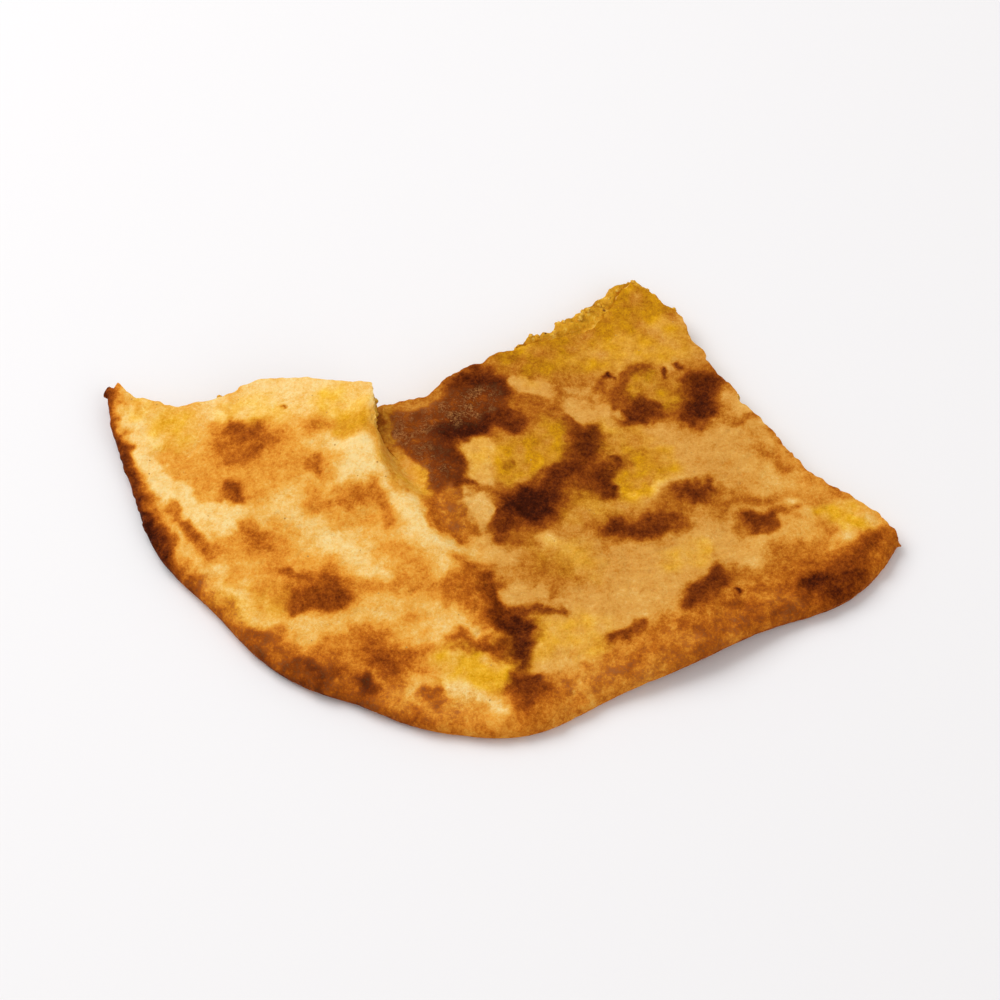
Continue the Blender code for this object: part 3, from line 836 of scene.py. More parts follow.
    ash: tuple = dabs(
        (0.88, 3.8, (-16.0, 14.0), (-8.0, 17.6)),
        (0.78, 3.0, (-6.5, 18.0), (-2.0, 21.0)),
        (0.90, 2.0, (-9.4, -2.0), (-8.6, -6.4)),
        (0.50, 1.8, (-37.0, -32.6), (-31.0, -35.6)),
        (0.72, 2.6, (-13.8, 10.0), (-10.6, 3.0)),
        (0.40, 3.8, (12.0, -41.0), (34.0, -33.0), (50.0, -23.0)),
        (0.36, 3.2, (-54.0, -18.0), (-40.0, -32.0), (-24.0, -40.0), (-6.0, -44.0)),
    )
    warp: tuple = ((4.6, 0.95), (1.5, 0.42))
    pale: float = 0.20
    right_tone_and_shade: float = 0.15
    clouds: float = 0.09
    mottle: float = 0.08
    mottle_right: float = 0.05
    ground_cover: float = 0.8
    most_bleach: float = 0.02
    right_start: float = 2.0
    right_run: float = 7.0
    rim_mottle: float = 0.07
    rim_fall: float = 0.62
    rim_sway: float = 0.2
    rim_past: float = 1.6
    rim_fade: float = 2.2
    rim_fade_share: float = 0.3
    under_pale: float = 0.28
    under_patches: float = 0.34
    under_spots: float = 0.22
    # Where the right side's tan tone and painted shade fade: towards its right end and near the crust.
    tan_shade_end: Pair = (38.0, 20.0)
    tan_shade_end_share: float = 0.6
    tan_shade_crust: Pair = (1.5, 9.0)
    tan_shade_crust_share: float = 0.8
    tint_evenness: float = 0.9
    tint_mottle: float = 0.5

    def shaken(self, plan: Array) -> Array:
        """Plan points moved a little at random, which breaks the edges of the dabs."""
        moved = plan.copy()
        for index, (size, reach) in enumerate(self.warp):
            moved[:, 0] += reach * Grain(101 + index, size, 2).at(plan)
            moved[:, 1] += reach * Grain(131 + index, size, 2).at(plan)
        return moved

    def right_side(self, plan: Array) -> Array:
        """1 on the right side of the tear and fold, which takes a tan tone and painted shade, 0 left of them.
        """
        _, away, side = self.plan.tear.nearest(plan)
        return eased(side * away, -self.right_start, self.right_run)

    def rim_toast(self, plan: Array) -> tuple[Array, Array]:
        """Toasting along the rim.

        Args:
            plan: rows of x and y.

        Returns:
            The toast level there, and how far it covers what lies under it.
        """
        angle, inset = self.plan.rim.angle(plan), self.plan.rim.inset(plan)
        angles, *columns = np.array(self.rim_band).T
        edge, inner, width = (np.interp(angle, angles, column) for column in columns)
        width = width * (1 + self.rim_sway * Grain(61, 5.0, 2).at(plan))
        level = edge + (inner - edge) * smooth(inset / (self.rim_fall * width))
        level += self.rim_mottle * Grain(67, 3.0, 3).at(plan)
        return level, smooth((width + self.rim_past - inset) / (self.rim_fade + self.rim_fade_share * width))

    def toast(self, plan: Array, lobe: Array) -> Array:
        """Toast level of the upper skin.

        Args:
            plan: rows of x and y.
            lobe: 1 for each point of the lifted lobe, which covers other skin, else 0.

        Returns:
            Levels from 0 for pale dough to 1 for char.
        """
        spot = self.shaken(plan)
        right = self.right_side(plan) * (1 - lobe)
        # The right side is toasted darker, partly its own tone and partly painted shade, as it slopes away
        # from the light.
        level = self.pale + self.right_tone_and_shade * right + self.clouds * Grain(41, 8.0, 2).at(plan)
        level += (self.mottle + self.mottle_right * right) * Grain(43, 3.0, 2).at(plan)
        for dab in self.grounds:
            level += self.ground_cover * (dab.level - level) * dab.mask(spot)
        rim_level, cover = self.rim_toast(spot)
        level += (rim_level - level) * cover
        for dab in self.strokes:
            level += np.maximum(dab.level - level, -self.most_bleach) * dab.mask(spot)
        for dab in self.char:
            level += np.maximum(dab.level - level, -self.most_bleach) * dab.mask(spot) * (1 - lobe)
        for dab in self.islands + self.specks:
            level += (dab.level - level) * dab.mask(spot)
        return level

    def toast_below(self, plan: Array) -> Array:
        """Toast level of the underside, in seeded patches."""
        patches = eased(Grain(71, 9.0, 3).at(plan), 0.05, 0.5)
        spots = eased(Grain(79, 3.6, 2).at(plan), 0.35, 0.4)
        level = self.under_pale + self.mottle * Grain(73, 3.0, 2).at(plan)
        level += self.under_patches * patches + self.under_spots * spots
        rim_level, cover = self.rim_toast(plan)
        return level + (rim_level - level) * cover

    def tint(self, plan: Array, lobe: Array, tint: Tint) -> Array:
        """Strength of another tint of the upper skin, from 0 to 1."""
        # Tan tone and painted shade on the right side, less towards its right end and by the crust.
        if tint is Tint.TAN_AND_SHADE:
            end = eased(plan[:, 0], *self.tan_shade_end)
            crust = smooth(self.tan_shade_crust[0] - self.plan.rim.inset(plan) / self.tan_shade_crust[1])
            brighter = (1 - self.tan_shade_end_share * end) * (1 - self.tan_shade_crust_share * crust)
            return self.right_side(plan) * (1 - lobe) * brighter
        spot = self.shaken(plan)
        strength = np.zeros(len(plan))
        for dab in self.turmeric if tint is Tint.TURMERIC else self.ash:
            strength = np.maximum(strength, dab.level * dab.mask(spot))
        return strength * (self.tint_evenness + self.tint_mottle * Grain(47, 2.4, 2).at(plan))


def linear(colour: str) -> tuple[float, float, float, float]:
    """Turn an sRGB hex colour into Blender's linear values."""
    channels = [int(colour[index:index + 2], 16) / 255 for index in (1, 3, 5)]
    return (*(c / 12.92 if c <= 0.04045 else ((c + 0.055) / 1.055) ** 2.4 for c in channels), 1.0)


def add_node(tree: Tree, kind: str, settings: dict[str, Any], links: dict[Any, Any]) -> bpy.types.Node:
    """Add a node with its settings, values and links.

    Args:
        tree: the node tree.
        kind: the node's type name.
        settings: its own properties by name.
        links: for each input, by name or index, a value or an output socket to link.

    Returns:
        The node.
    """
    node = tree.nodes.new(kind)
    for name, value in settings.items():
        setattr(node, name, value)
    for name, value in links.items():
        if isinstance(value, Socket):
            tree.links.new(value, node.inputs[name])
        else:
            node.inputs[name].default_value = value
    return node


def calculate(tree: Tree, operation: str, *values: Any) -> Socket:
    """Add a math node on values or output sockets, and return its result."""
    return add_node(tree, "ShaderNodeMath", {"operation": operation}, dict(enumerate(values))).outputs[0]


def noise(tree: Tree, size: float, detail: float, roughness: float = 0.5) -> Socket:
    """Add a noise over the piece, its size in millimetres, and return its value."""
    spot = add_node(tree, "ShaderNodeTexCoord", {}, {}).outputs["Object"]
    links = {"Vector": spot, "Scale": 1.0 / (size * MM), "Detail": detail, "Roughness": roughness}
    return add_node(tree, "ShaderNodeTexNoise", {}, links).outputs["Fac"]


def colour_ramp(tree: Tree, level: Socket, stops: tuple) -> Socket:
    """Add a colour ramp with its stops, rows of a place and a hex colour, and return its colour."""
    node = add_node(tree, "ShaderNodeValToRGB", {}, {"Fac": level})
    ramp = node.color_ramp
    while len(ramp.elements) < len(stops):
        ramp.elements.new(1.0)
    for element, (place, colour) in zip(ramp.elements, stops):
        element.position = place
        element.color = linear(colour)
    return node.outputs["Color"]


def mix_colour(tree: Tree, share: Any, first: Any, second: Any) -> Socket:
    """Add a mix of two colours by a share, and return its colour."""
    return add_node(tree, "ShaderNodeMix", {"data_type": "RGBA"}, {0: share, 6: first, 7: second}).outputs[2]


def spread_values(tree: Tree, value: Socket, before: Pair, after: Pair) -> Socket:
    """Map a value from one range to another, held at its ends."""
    ends = {"From Min": before[0], "From Max": before[1], "To Min": after[0], "To Max": after[1]}
    return add_node(tree, "ShaderNodeMapRange", {}, {"Value": value} | ends).outputs["Result"]


def set_inputs(shader: bpy.types.Node, values: dict[str, Any]) -> None:
    """Set a shader's own constants by name."""
    for name, value in values.items():
        shader.inputs[name].default_value = value


@dataclass(frozen=True)
class Fleck:
    """A noise in the dough's colour: its size in millimetres, its detail and its share of the toast level."""

    size: float
    detail: float
    share: float


@dataclass(frozen=True)
class GriddledDough:
    """Wholewheat dough fried on an iron griddle: matt and floury, with a faint sheen of fat that varies in
    patches.
    """

    cream: tuple = (
        (0.04, "#efd18f"), (0.14, "#ecc173"), (0.24, "#e6ae53"), (0.34, "#e19c3a"), (0.44, "#d58629"),
        (0.54, "#bd6a18"), (0.64, "#a0500f"), (0.74, "#833c09"), (0.84, "#652806"), (0.92, "#4b1a05"),
        (1.00, "#341004"),
    )
    # The right side's colours: a tan tone with painted shade, darker than the cream at each level.
    tan: tuple = (
        (0.04, "#ecc684"), (0.14, "#e0b061"), (0.24, "#d89f4c"), (0.34, "#cf9240"), (0.44, "#c37f2a"),
        (0.54, "#ad6416"), (0.64, "#954c10"), (0.74, "#7b380a"), (0.84, "#602606"), (0.92, "#481905"),
        (1.00, "#341004"),
    )
    yellow: tuple = (
        (0.04, "#f6cb52"), (0.14, "#eeb93a"), (0.24, "#e4a826"), (0.34, "#d2950f"), (0.44, "#bf8210"),
        (0.54, "#a96c0e"), (0.64, "#93530c"), (0.74, "#7a3d08"), (0.84, "#602806"), (0.92, "#481905"),
        (1.00, "#341004"),
    )
    flour_ash: str = "#b4763f"
    mottle: Fleck = Fleck(1.7, 4.0, 0.34)
    grain: Fleck = Fleck(0.55, 3.0, 0.34)
    grit: Fleck = Fleck(0.24, 2.0, 0.24)
    noise_roughness: float = 0.55
    ash_share: float = 0.50
    speckle_grain: float = 0.8
    speckle_range: Pair = (1.34, 1.75)
    speckle_cover: Pair = (0.0, 0.85)
    rough_range: Pair = (0.3, 0.7)
    roughness: Pair = (0.5, 0.78)
    bump: float = 0.00022
    bump_strength: float = 0.8
    bump_grit: float = 0.5
    glow: tuple = (0.0016, 0.0009, 0.0004)
    glow_weight: float = 0.12

    def toasted(self, tree: Tree, level: Any, ash: Any, noises: list) -> Socket:
        """The toast level, made uneven by the noises, more so where ash lies on it."""
        mottle_share = calculate(tree, "MULTIPLY_ADD", ash, self.ash_share, self.mottle.share)
        for value, share in zip(noises, (mottle_share, self.grain.share, self.grit.share)):
            around = calculate(tree, "SUBTRACT", value, 0.5)
            level = calculate(tree, "MULTIPLY_ADD", around, share, level)
        return level

    def speckled(self, tree: Tree, colour: Any, ash: Any, noises: list) -> Socket:
        """The colour with pale specks of burnt flour where ash lies on it."""
        mottle, grain, grit = noises
        coarse = calculate(tree, "MULTIPLY_ADD", grain, self.speckle_grain, mottle)
        both = calculate(tree, "ADD", grit, coarse)
        speckle = spread_values(tree, both, self.speckle_range, self.speckle_cover)
        return mix_colour(tree, calculate(tree, "MULTIPLY", speckle, ash), colour, linear(self.flour_ash))

    def build(self) -> bpy.types.Material:
        """Make the material, which reads the mesh's toast, turmeric, tan tone with painted shade, and ash."""
        material = bpy.data.materials.new("griddled_wholewheat_dough")
        material.use_nodes = True
        tree = material.node_tree
        shader = tree.nodes["Principled BSDF"]
        flecks = (self.mottle, self.grain, self.grit)
        noises = [noise(tree, fleck.size, fleck.detail, self.noise_roughness) for fleck in flecks]
        read = {}
        for tint in Tint:
            attribute = add_node(tree, "ShaderNodeAttribute", {"attribute_name": tint.value}, {})
            read[tint] = attribute.outputs["Fac"]
        level = self.toasted(tree, read[Tint.TOAST], read[Tint.ASH], noises)
        ramps = (self.cream, self.tan, self.yellow)
        cream, tan, yellow = (colour_ramp(tree, level, stops) for stops in ramps)
        # Tan tone with painted shade on the right side of the tear and fold.
        colour = mix_colour(tree, read[Tint.TAN_AND_SHADE], cream, tan)
        colour = mix_colour(tree, read[Tint.TURMERIC], colour, yellow)
        colour = self.speckled(tree, colour, read[Tint.ASH], noises)
        tree.links.new(colour, shader.inputs["Base Color"])
        mottle, grain, grit = noises
        rough = spread_values(tree, mottle, self.rough_range, self.roughness)
        tree.links.new(rough, shader.inputs["Roughness"])
        height = calculate(tree, "MULTIPLY_ADD", grit, self.bump_grit, grain)
        bump = add_node(tree, "ShaderNodeBump", {},
                        {"Strength": self.bump_strength, "Distance": self.bump, "Height": height})
        tree.links.new(bump.outputs["Normal"], shader.inputs["Normal"])
        set_inputs(shader, {
            "IOR": 1.45,
            "Specular IOR Level": 0.03,
            "Subsurface Weight": self.glow_weight,
            "Subsurface Radius": self.glow,
            "Subsurface Scale": 1.0,
        })
        return material


@dataclass(frozen=True)
class Mash:
    """A moist mash or a dry bit of it: a few colours that run into each other, and a fine grainy bump."""

    name: str
    stops: tuple
    size: float
    roughness: float
    bump: float
    fineness: float = 4.0
    noise_roughness: float = 0.6
    roughness_either_way: float = 0.15
    bump_strength: float = 0.9
    glow: tuple = (0.0018, 0.0012, 0.0004)
    glow_weight: float = 0.15

    def build(self) -> bpy.types.Material:
        """Make the material."""
        material = bpy.data.materials.new(self.name)
        material.use_nodes = True
        tree = material.node_tree
        shader = tree.nodes["Principled BSDF"]
        coarse = noise(tree, self.size, 4.0, self.noise_roughness)
        fine = noise(tree, self.size / self.fineness, 2.0)
        tree.links.new(colour_ramp(tree, coarse, self.stops), shader.inputs["Base Color"])
        ends = (self.roughness - self.roughness_either_way, self.roughness + self.roughness_either_way)
        tree.links.new(spread_values(tree, fine, (0.0, 1.0), ends), shader.inputs["Roughness"])
        bump = add_node(tree, "ShaderNodeBump", {},
                        {"Strength": self.bump_strength, "Distance": self.bump, "Height": fine})
        tree.links.new(bump.outputs["Normal"], shader.inputs["Normal"])
        set_inputs(shader, {
            "IOR": 1.42,
            "Specular IOR Level": 0.2,
            "Subsurface Weight": self.glow_weight,
            "Subsurface Radius": self.glow,
            "Subsurface Scale": 1.0,
        })
        return material


TURMERIC_POTATO = Mash(
    "turmeric_mashed_potato", ((0.28, "#a87008"), (0.42, "#c4880f"), (0.55, "#d89c1a"), (0.72, "#e9bb4a")),
    size=1.6, roughness=0.6, bump=0.0003,
)
DRY_CRUMB = Mash(
    "dry_potato_crumb", ((0.3, "#c08410"), (0.5, "#daa026"), (0.7, "#ecc260")),
    size=0.7, roughness=0.65, bump=0.0001,
)
WHEAT_BRAN = Mash(
    "toasted_wheat_bran", ((0.3, "#b07a34"), (0.5, "#c08a40"), (0.7, "#d09c50")),
    size=0.4, roughness=0.6, bump=0.00005,
)
CUMIN = Mash(
    "cumin_and_chilli_specks", ((0.3, "#5a3208"), (0.5, "#7c4a10"), (0.7, "#8f6a1c")),
    size=0.5, roughness=0.6, bump=0.00005,
)


@dataclass
class Dough:
    """Both skins with the rim, fine enough for blisters, char and torn edges, around the potato's pocket."""

    layers: Layers
    toasting: Toasting
    edge_step: float = 0.45
    upper_step: float = 0.42
    lower_step: float = 0.85
    inner_step: float = 1.5
    skin_rows: int = 3
    ring_gap: float = 0.4
    rings: tuple = (0.06, 0.18, 0.36, 0.6, 0.9, 1.25)
    rings_below: tuple = (0.1, 0.3, 0.7, 1.3)
    crag: float = 0.16
    wrinkles: Swell = Swell((26.0, -15.0), (20.0, 9.0), 0.09, 12.0)
    wrinkle_length: float = 2.3
    wrinkle_sway: float = 1.8
    pore_depth: float = 0.25
    fine_relief: float = 0.07
    low_relief: float = 0.05
    char_start: Pair = (0.52, 0.26)
    char_rise: float = 0.12
    char_blisters: float = 0.10
    crust_reach: Pair = (1.4, 8.0)
    below_relief: float = 0.07
    hidden_toast: float = 0.2
    cut_toast: float = 0.13
    cut_mottle: float = 0.10
    cut_relief: float = 0.16
    cut_slant: float = 0.6
    cut_browning: float = 0.9
    torn_toast: float = 0.25
    torn_smoothing: float = 0.8
    torn_reach: float = 2.0

    def skin(self, cut: Array, rim: Array, spacing: float, insets: tuple) -> tuple[Array, Array]:
        """Flat mesh of a whole skin, with rings of points along the rim."""
        outline = np.vstack([cut, rim])
        rings = np.vstack([self.layers.plan.edge(self.edge_step, inset) for inset in insets])
        rings = rings[Flat.away(rings, cut) > 0.5 * self.edge_step]
        middle = Flat.lattice(outline, spacing)
        middle = middle[self.layers.plan.rim.inset(middle) > insets[-1] + 0.5 * spacing]
        return Flat.mesh(outline, np.vstack([rings, middle]))

    def pocket(self, cut: Array, first: int, last: int) -> tuple[Array, Array, int]:
        """Flat mesh of the potato's space, and how many of its points are its outline."""
        rim = self.layers.plan.rim
        opening = cut[first:last + 1]
        back = rim.points(cut[last], cut[first], rim.wall, self.inner_step)
        back = back[Flat.away(back, opening) > self.ring_gap * self.inner_step]
        outline = np.vstack([opening, back])
        points, triangles = Flat.mesh(outline, Flat.lattice(outline, self.inner_step))
        return points, triangles, len(outline)

    def rows(self, shell: Shell, start: Array, end: Array) -> list[Array]:
        """Add the rows between two rows of points, and return their corners."""
        shares = np.linspace(0.0, 1.0, self.skin_rows + 1)[1:-1]
        return [shell.add(start + (end - start) * share) for share in shares]

    def form(self) -> tuple[bpy.types.Mesh, Array, int, int]:
        """Build the closed shell.

        Returns:
            The mesh, for each vertex of the upper skin 1 on the lobe and else 0, and then the numbers
            of vertices on the lower skin and on the cut, which follow in this order.
        """
        layers, shell = self.layers, Shell()
        cut = layers.plan.cut_side(self.edge_step)
        rim = layers.plan.edge(self.edge_step)
        deep = np.flatnonzero(layers.plan.rim.inset(cut) > layers.plan.rim.wall)
        first, last = int(deep[0]), int(deep[-1])
        flat, triangles = self.skin(cut, rim, self.upper_step, self.rings)
        upper = shell.add(layers.place(layers.drawn_back(flat), Surface.UPPER))
        shell.sheet(upper, triangles, True)
        t, _, side = layers.plan.tear.nearest(flat)
        lobe = (side < 0) & (t < layers.plan.tear.length)
        flat, triangles = self.skin(cut, rim, self.lower_step, self.rings_below)
        lower = shell.add(layers.place(flat, Surface.LOWER))
        shell.sheet(lower, triangles, False)
        edge = len(cut)
        above = layers.place(layers.drawn_back(cut), Surface.CEILING)
        below = layers.place(cut, Surface.FLOOR)
        top, bottom = (np.vstack(shell.points)[corners[:edge]] for corners in (upper, lower))
        down = [upper[:edge], *self.rows(shell, top, above), shell.add(above)]
        up = [shell.add(below), *self.rows(shell, below, bottom), lower[:edge]]
        sides = shell.count - len(upper) - len(lower)
        for rows in (down, up):
            for high, low in zip(rows, rows[1:]):
                shell.strip(high, low)
        shell.strip(down[-1][:first + 1], up[0][:first + 1])
        shell.strip(down[-1][last:], up[0][last:])
        loop = np.arange(edge, edge + len(rim))
        shell.strip(upper[loop], lower[loop])
        column = [rows[edge - 1] for rows in down + up]
        shell.faces.append([*map(int, column), int(lower[edge]), int(upper[edge])])
        column = [rows[0] for rows in (down + up)[::-1]]
        shell.faces.append([int(upper[loop[-1]]), int(lower[loop[-1]]), *map(int, column)])
        flat, triangles, ring = self.pocket(cut, first, last)
        opening = last - first + 1
        rest = flat[opening:]
        hidden = shell.add(layers.place(layers.drawn_back(rest), Surface.CEILING))
        ceiling = np.r_[down[-1][first:last + 1], hidden]
        hidden = shell.add(layers.place(rest, Surface.FLOOR))
        floor = np.r_[up[0][first:last + 1], hidden]
        shell.sheet(ceiling, triangles, False)
        shell.sheet(floor, triangles, True)
        wall = np.r_[np.arange(opening - 1, ring), 0]
        shell.strip(floor[wall], ceiling[wall])
        return shell.mesh("dough_fine"), lobe.astype(float), len(lower), sides

    def build(self) -> bpy.types.Object:
        """Build, roughen and toast the dough."""
        data, lobe, lower, sides = self.form()
        upper = len(lobe)
        points = read_points(data)
        plan = points[:, :2]
        toast = np.full(len(points), self.hidden_toast)
        toast[:upper] = self.toasting.toast(plan[:upper], lobe)
        toast[upper:upper + lower] = self.toasting.toast_below(plan[upper:upper + lower])
        cut_plan = plan[upper + lower:] + points[upper + lower:, 2:] * self.cut_slant
        toast[upper + lower:] = self.cut_toast + self.cut_mottle * Grain(83, 2.0, 3).at(cut_plan)
        inset = self.layers.plan.rim.inset(plan)
        rim_level, cover = self.toasting.rim_toast(plan)
        edge = slice(upper + lower, upper + lower + sides)
        toast[edge] = np.maximum(toast[edge], (rim_level * cover)[edge] * self.cut_browning)
        t, away, _ = self.layers.plan.tear.nearest(plan[edge])
        torn = smooth(self.torn_reach - away) * (t < self.layers.plan.tear.length)
        toast[edge] += self.torn_toast * torn
        amount = np.zeros(len(points))
        amount[:upper] = self.roughness(plan[:upper], toast[:upper], inset[:upper])
        pits = np.minimum(Grain(89, 1.8, 2).at(plan[upper:upper + lower]), 0.0)
        amount[upper:upper + lower] = self.below_relief * pits
        frays = Grain(97, 1.2, 3).at(cut_plan[:sides])
        amount[edge] = self.cut_relief * frays * (1 - self.torn_smoothing * torn)
        push_out(data, amount)
        write_attribute(data, Tint.TOAST.value, toast)
        # Turmeric, the right side's tan tone with painted shade, and ash.
        for tint in (Tint.TURMERIC, Tint.TAN_AND_SHADE, Tint.ASH):
            values = np.zeros(len(points))
            values[:upper] = self.toasting.tint(plan[:upper], lobe, tint)
            write_attribute(data, tint.value, values)
        piece = dress(data, "griddled_dough", GriddledDough().build())
        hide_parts("dough")
        return piece

    def roughness(self, plan: Array, toast: Array, inset: Array) -> Array:
        """How far the upper skin stands out of its smooth form.

        Args:
            plan: rows of x and y.
            toast: toast level at each.
            inset: distance from the rim at each.

        Returns:
            Heights in millimetres.
        """
        dark = eased(toast, *self.char_start)
        crust = smooth(self.crust_reach[0] - inset / self.crust_reach[1])
        rough = self.fine_relief * Grain(17, 1.5, 2).at(plan) + self.low_relief * Grain(19, 3.6, 2).at(plan)
        rough += dark * (self.char_rise + self.char_blisters * Grain(29, 1.3, 2).at(plan))
        rough += crust * self.crag * Grain(31, 2.8, 3).at(plan)
        across = plan[:, 1] - math.tan(math.radians(self.wrinkles.turn)) * plan[:, 0]
        swayed = across + self.wrinkle_sway * Grain(37, 8.0, 2).at(plan)
        fold = np.sin(2 * math.pi * swayed / self.wrinkle_length)
        rough += self.wrinkles.height * self.wrinkles.share(plan) * fold
        pores = eased(Grain(53, 1.0).at(plan), 0.86, 0.2) * eased(Grain(59, 6.0).at(plan), -0.2, 0.5)
        return rough - self.pore_depth * pores


@dataclass
class Potato:
    """The layer of mashed potato, grainy where it shows at the cut sides and on the bare strip."""

    layers: Layers
    edge_step: float = 0.45
    bare_step: float = 0.5
    inner_step: float = 1.5
    ring_gap: float = 0.4
    back_gap: float = 0.3
    side_rows: int = 6
    lump: float = 0.34
    rise: float = 0.7
    rise_lumps: float = 0.25
    fine_from: float = 0.12
    fine_past: float = 1.5
    coarse_from: float = 0.1
    coarse_past: float = 2.5
    bare_share: float = 0.85
    bare_fade: float = 0.8
    slant: Pair = (0.8, -0.6)
    torn_reach: float = 2.0
    torn_smoothing: float = 0.8

    def form(self) -> tuple[bpy.types.Mesh, Array]:
        """Build the closed layer.

        Returns:
            The mesh, and for each vertex 1 where it shows and 0 where it is hidden.
        """
        layers, shell, rim = self.layers, Shell(), self.layers.plan.rim
        cut = layers.plan.cut_side(self.edge_step)
        deep = np.flatnonzero(rim.inset(cut) > rim.wall)
        opening = cut[deep[0]:deep[-1] + 1]
        back = rim.points(opening[-1], opening[0], rim.wall + self.back_gap, self.inner_step)
        back = back[Flat.away(back, opening) > self.ring_gap * self.inner_step]
        outline = np.vstack([opening, back])
        coarse, fine = Flat.lattice(outline, self.inner_step), Flat.lattice(outline, self.bare_step)
        worn = layers.bare.share(fine) > self.fine_from
        near = Flat.away(fine, opening) < layers.bare_depth + self.fine_past
        covered = layers.bare.share(coarse) < self.coarse_from
        deep_in = Flat.away(coarse, opening) > layers.bare_depth + self.coarse_past
        flat, triangles = Flat.mesh(outline, np.vstack([coarse[covered | deep_in], fine[worn & near]]))
        from_cut = Flat.away(flat, opening)
        bare_depth = self.bare_share * layers.bare_depth * layers.bare.share(flat)
        bared = smooth((bare_depth - from_cut) / self.bare_fade)
        top_points = layers.place(flat, Surface.POTATO_TOP)
        lumps = self.rise_lumps * Grain(201, 1.4, 3).at(flat)
        top_points[:, 2] += bared * (self.rise + lumps)
        bottom_points = layers.place(flat, Surface.POTATO_BOTTOM)
        top, bottom = shell.add(top_points), shell.add(bottom_points)
        shell.sheet(top, triangles, True)
        shell.sheet(bottom, triangles, False)
        ring = np.r_[np.arange(len(outline)), 0]
        shares = np.linspace(0.0, 1.0, self.side_rows + 1)[1:-1]
        edge_top, edge_bottom = top_points[:len(outline)], bottom_points[:len(outline)]
        rows = [top[:len(outline)]]
        rows += [shell.add(edge_top + (edge_bottom - edge_top) * share) for share in shares]
        rows.append(bottom[:len(outline)])
        for high, low in zip(rows, rows[1:]):
            shell.strip(high[ring], low[ring])
        shows = np.zeros(shell.count)
        shows[:len(flat)] = bared
        for row in rows:
            shows[row[:len(opening)]] = 1.0
        return shell.mesh("potato_fine"), shows

    def build(self) -> bpy.types.Object:
        """Build and roughen the potato."""
        data, shows = self.form()
        points = read_points(data)
        plan = points[:, :2] + points[:, 2:] * np.array([self.slant])
        lumps = Grain(211, 2.2, 3).at(plan) + 0.5 * Grain(223, 0.9).at(plan)
        t, away, _ = self.layers.plan.tear.nearest(points[:, :2])
        torn = smooth(self.torn_reach - away) * (t < self.layers.plan.tear.length)
        lumps *= 1 - self.torn_smoothing * torn
        push_out(data, shows * self.lump * lumps)
        write_attribute(data, "shows", shows)
        piece = dress(data, "potato_layer", TURMERIC_POTATO.build())
        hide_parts("potato_filling")
        return piece


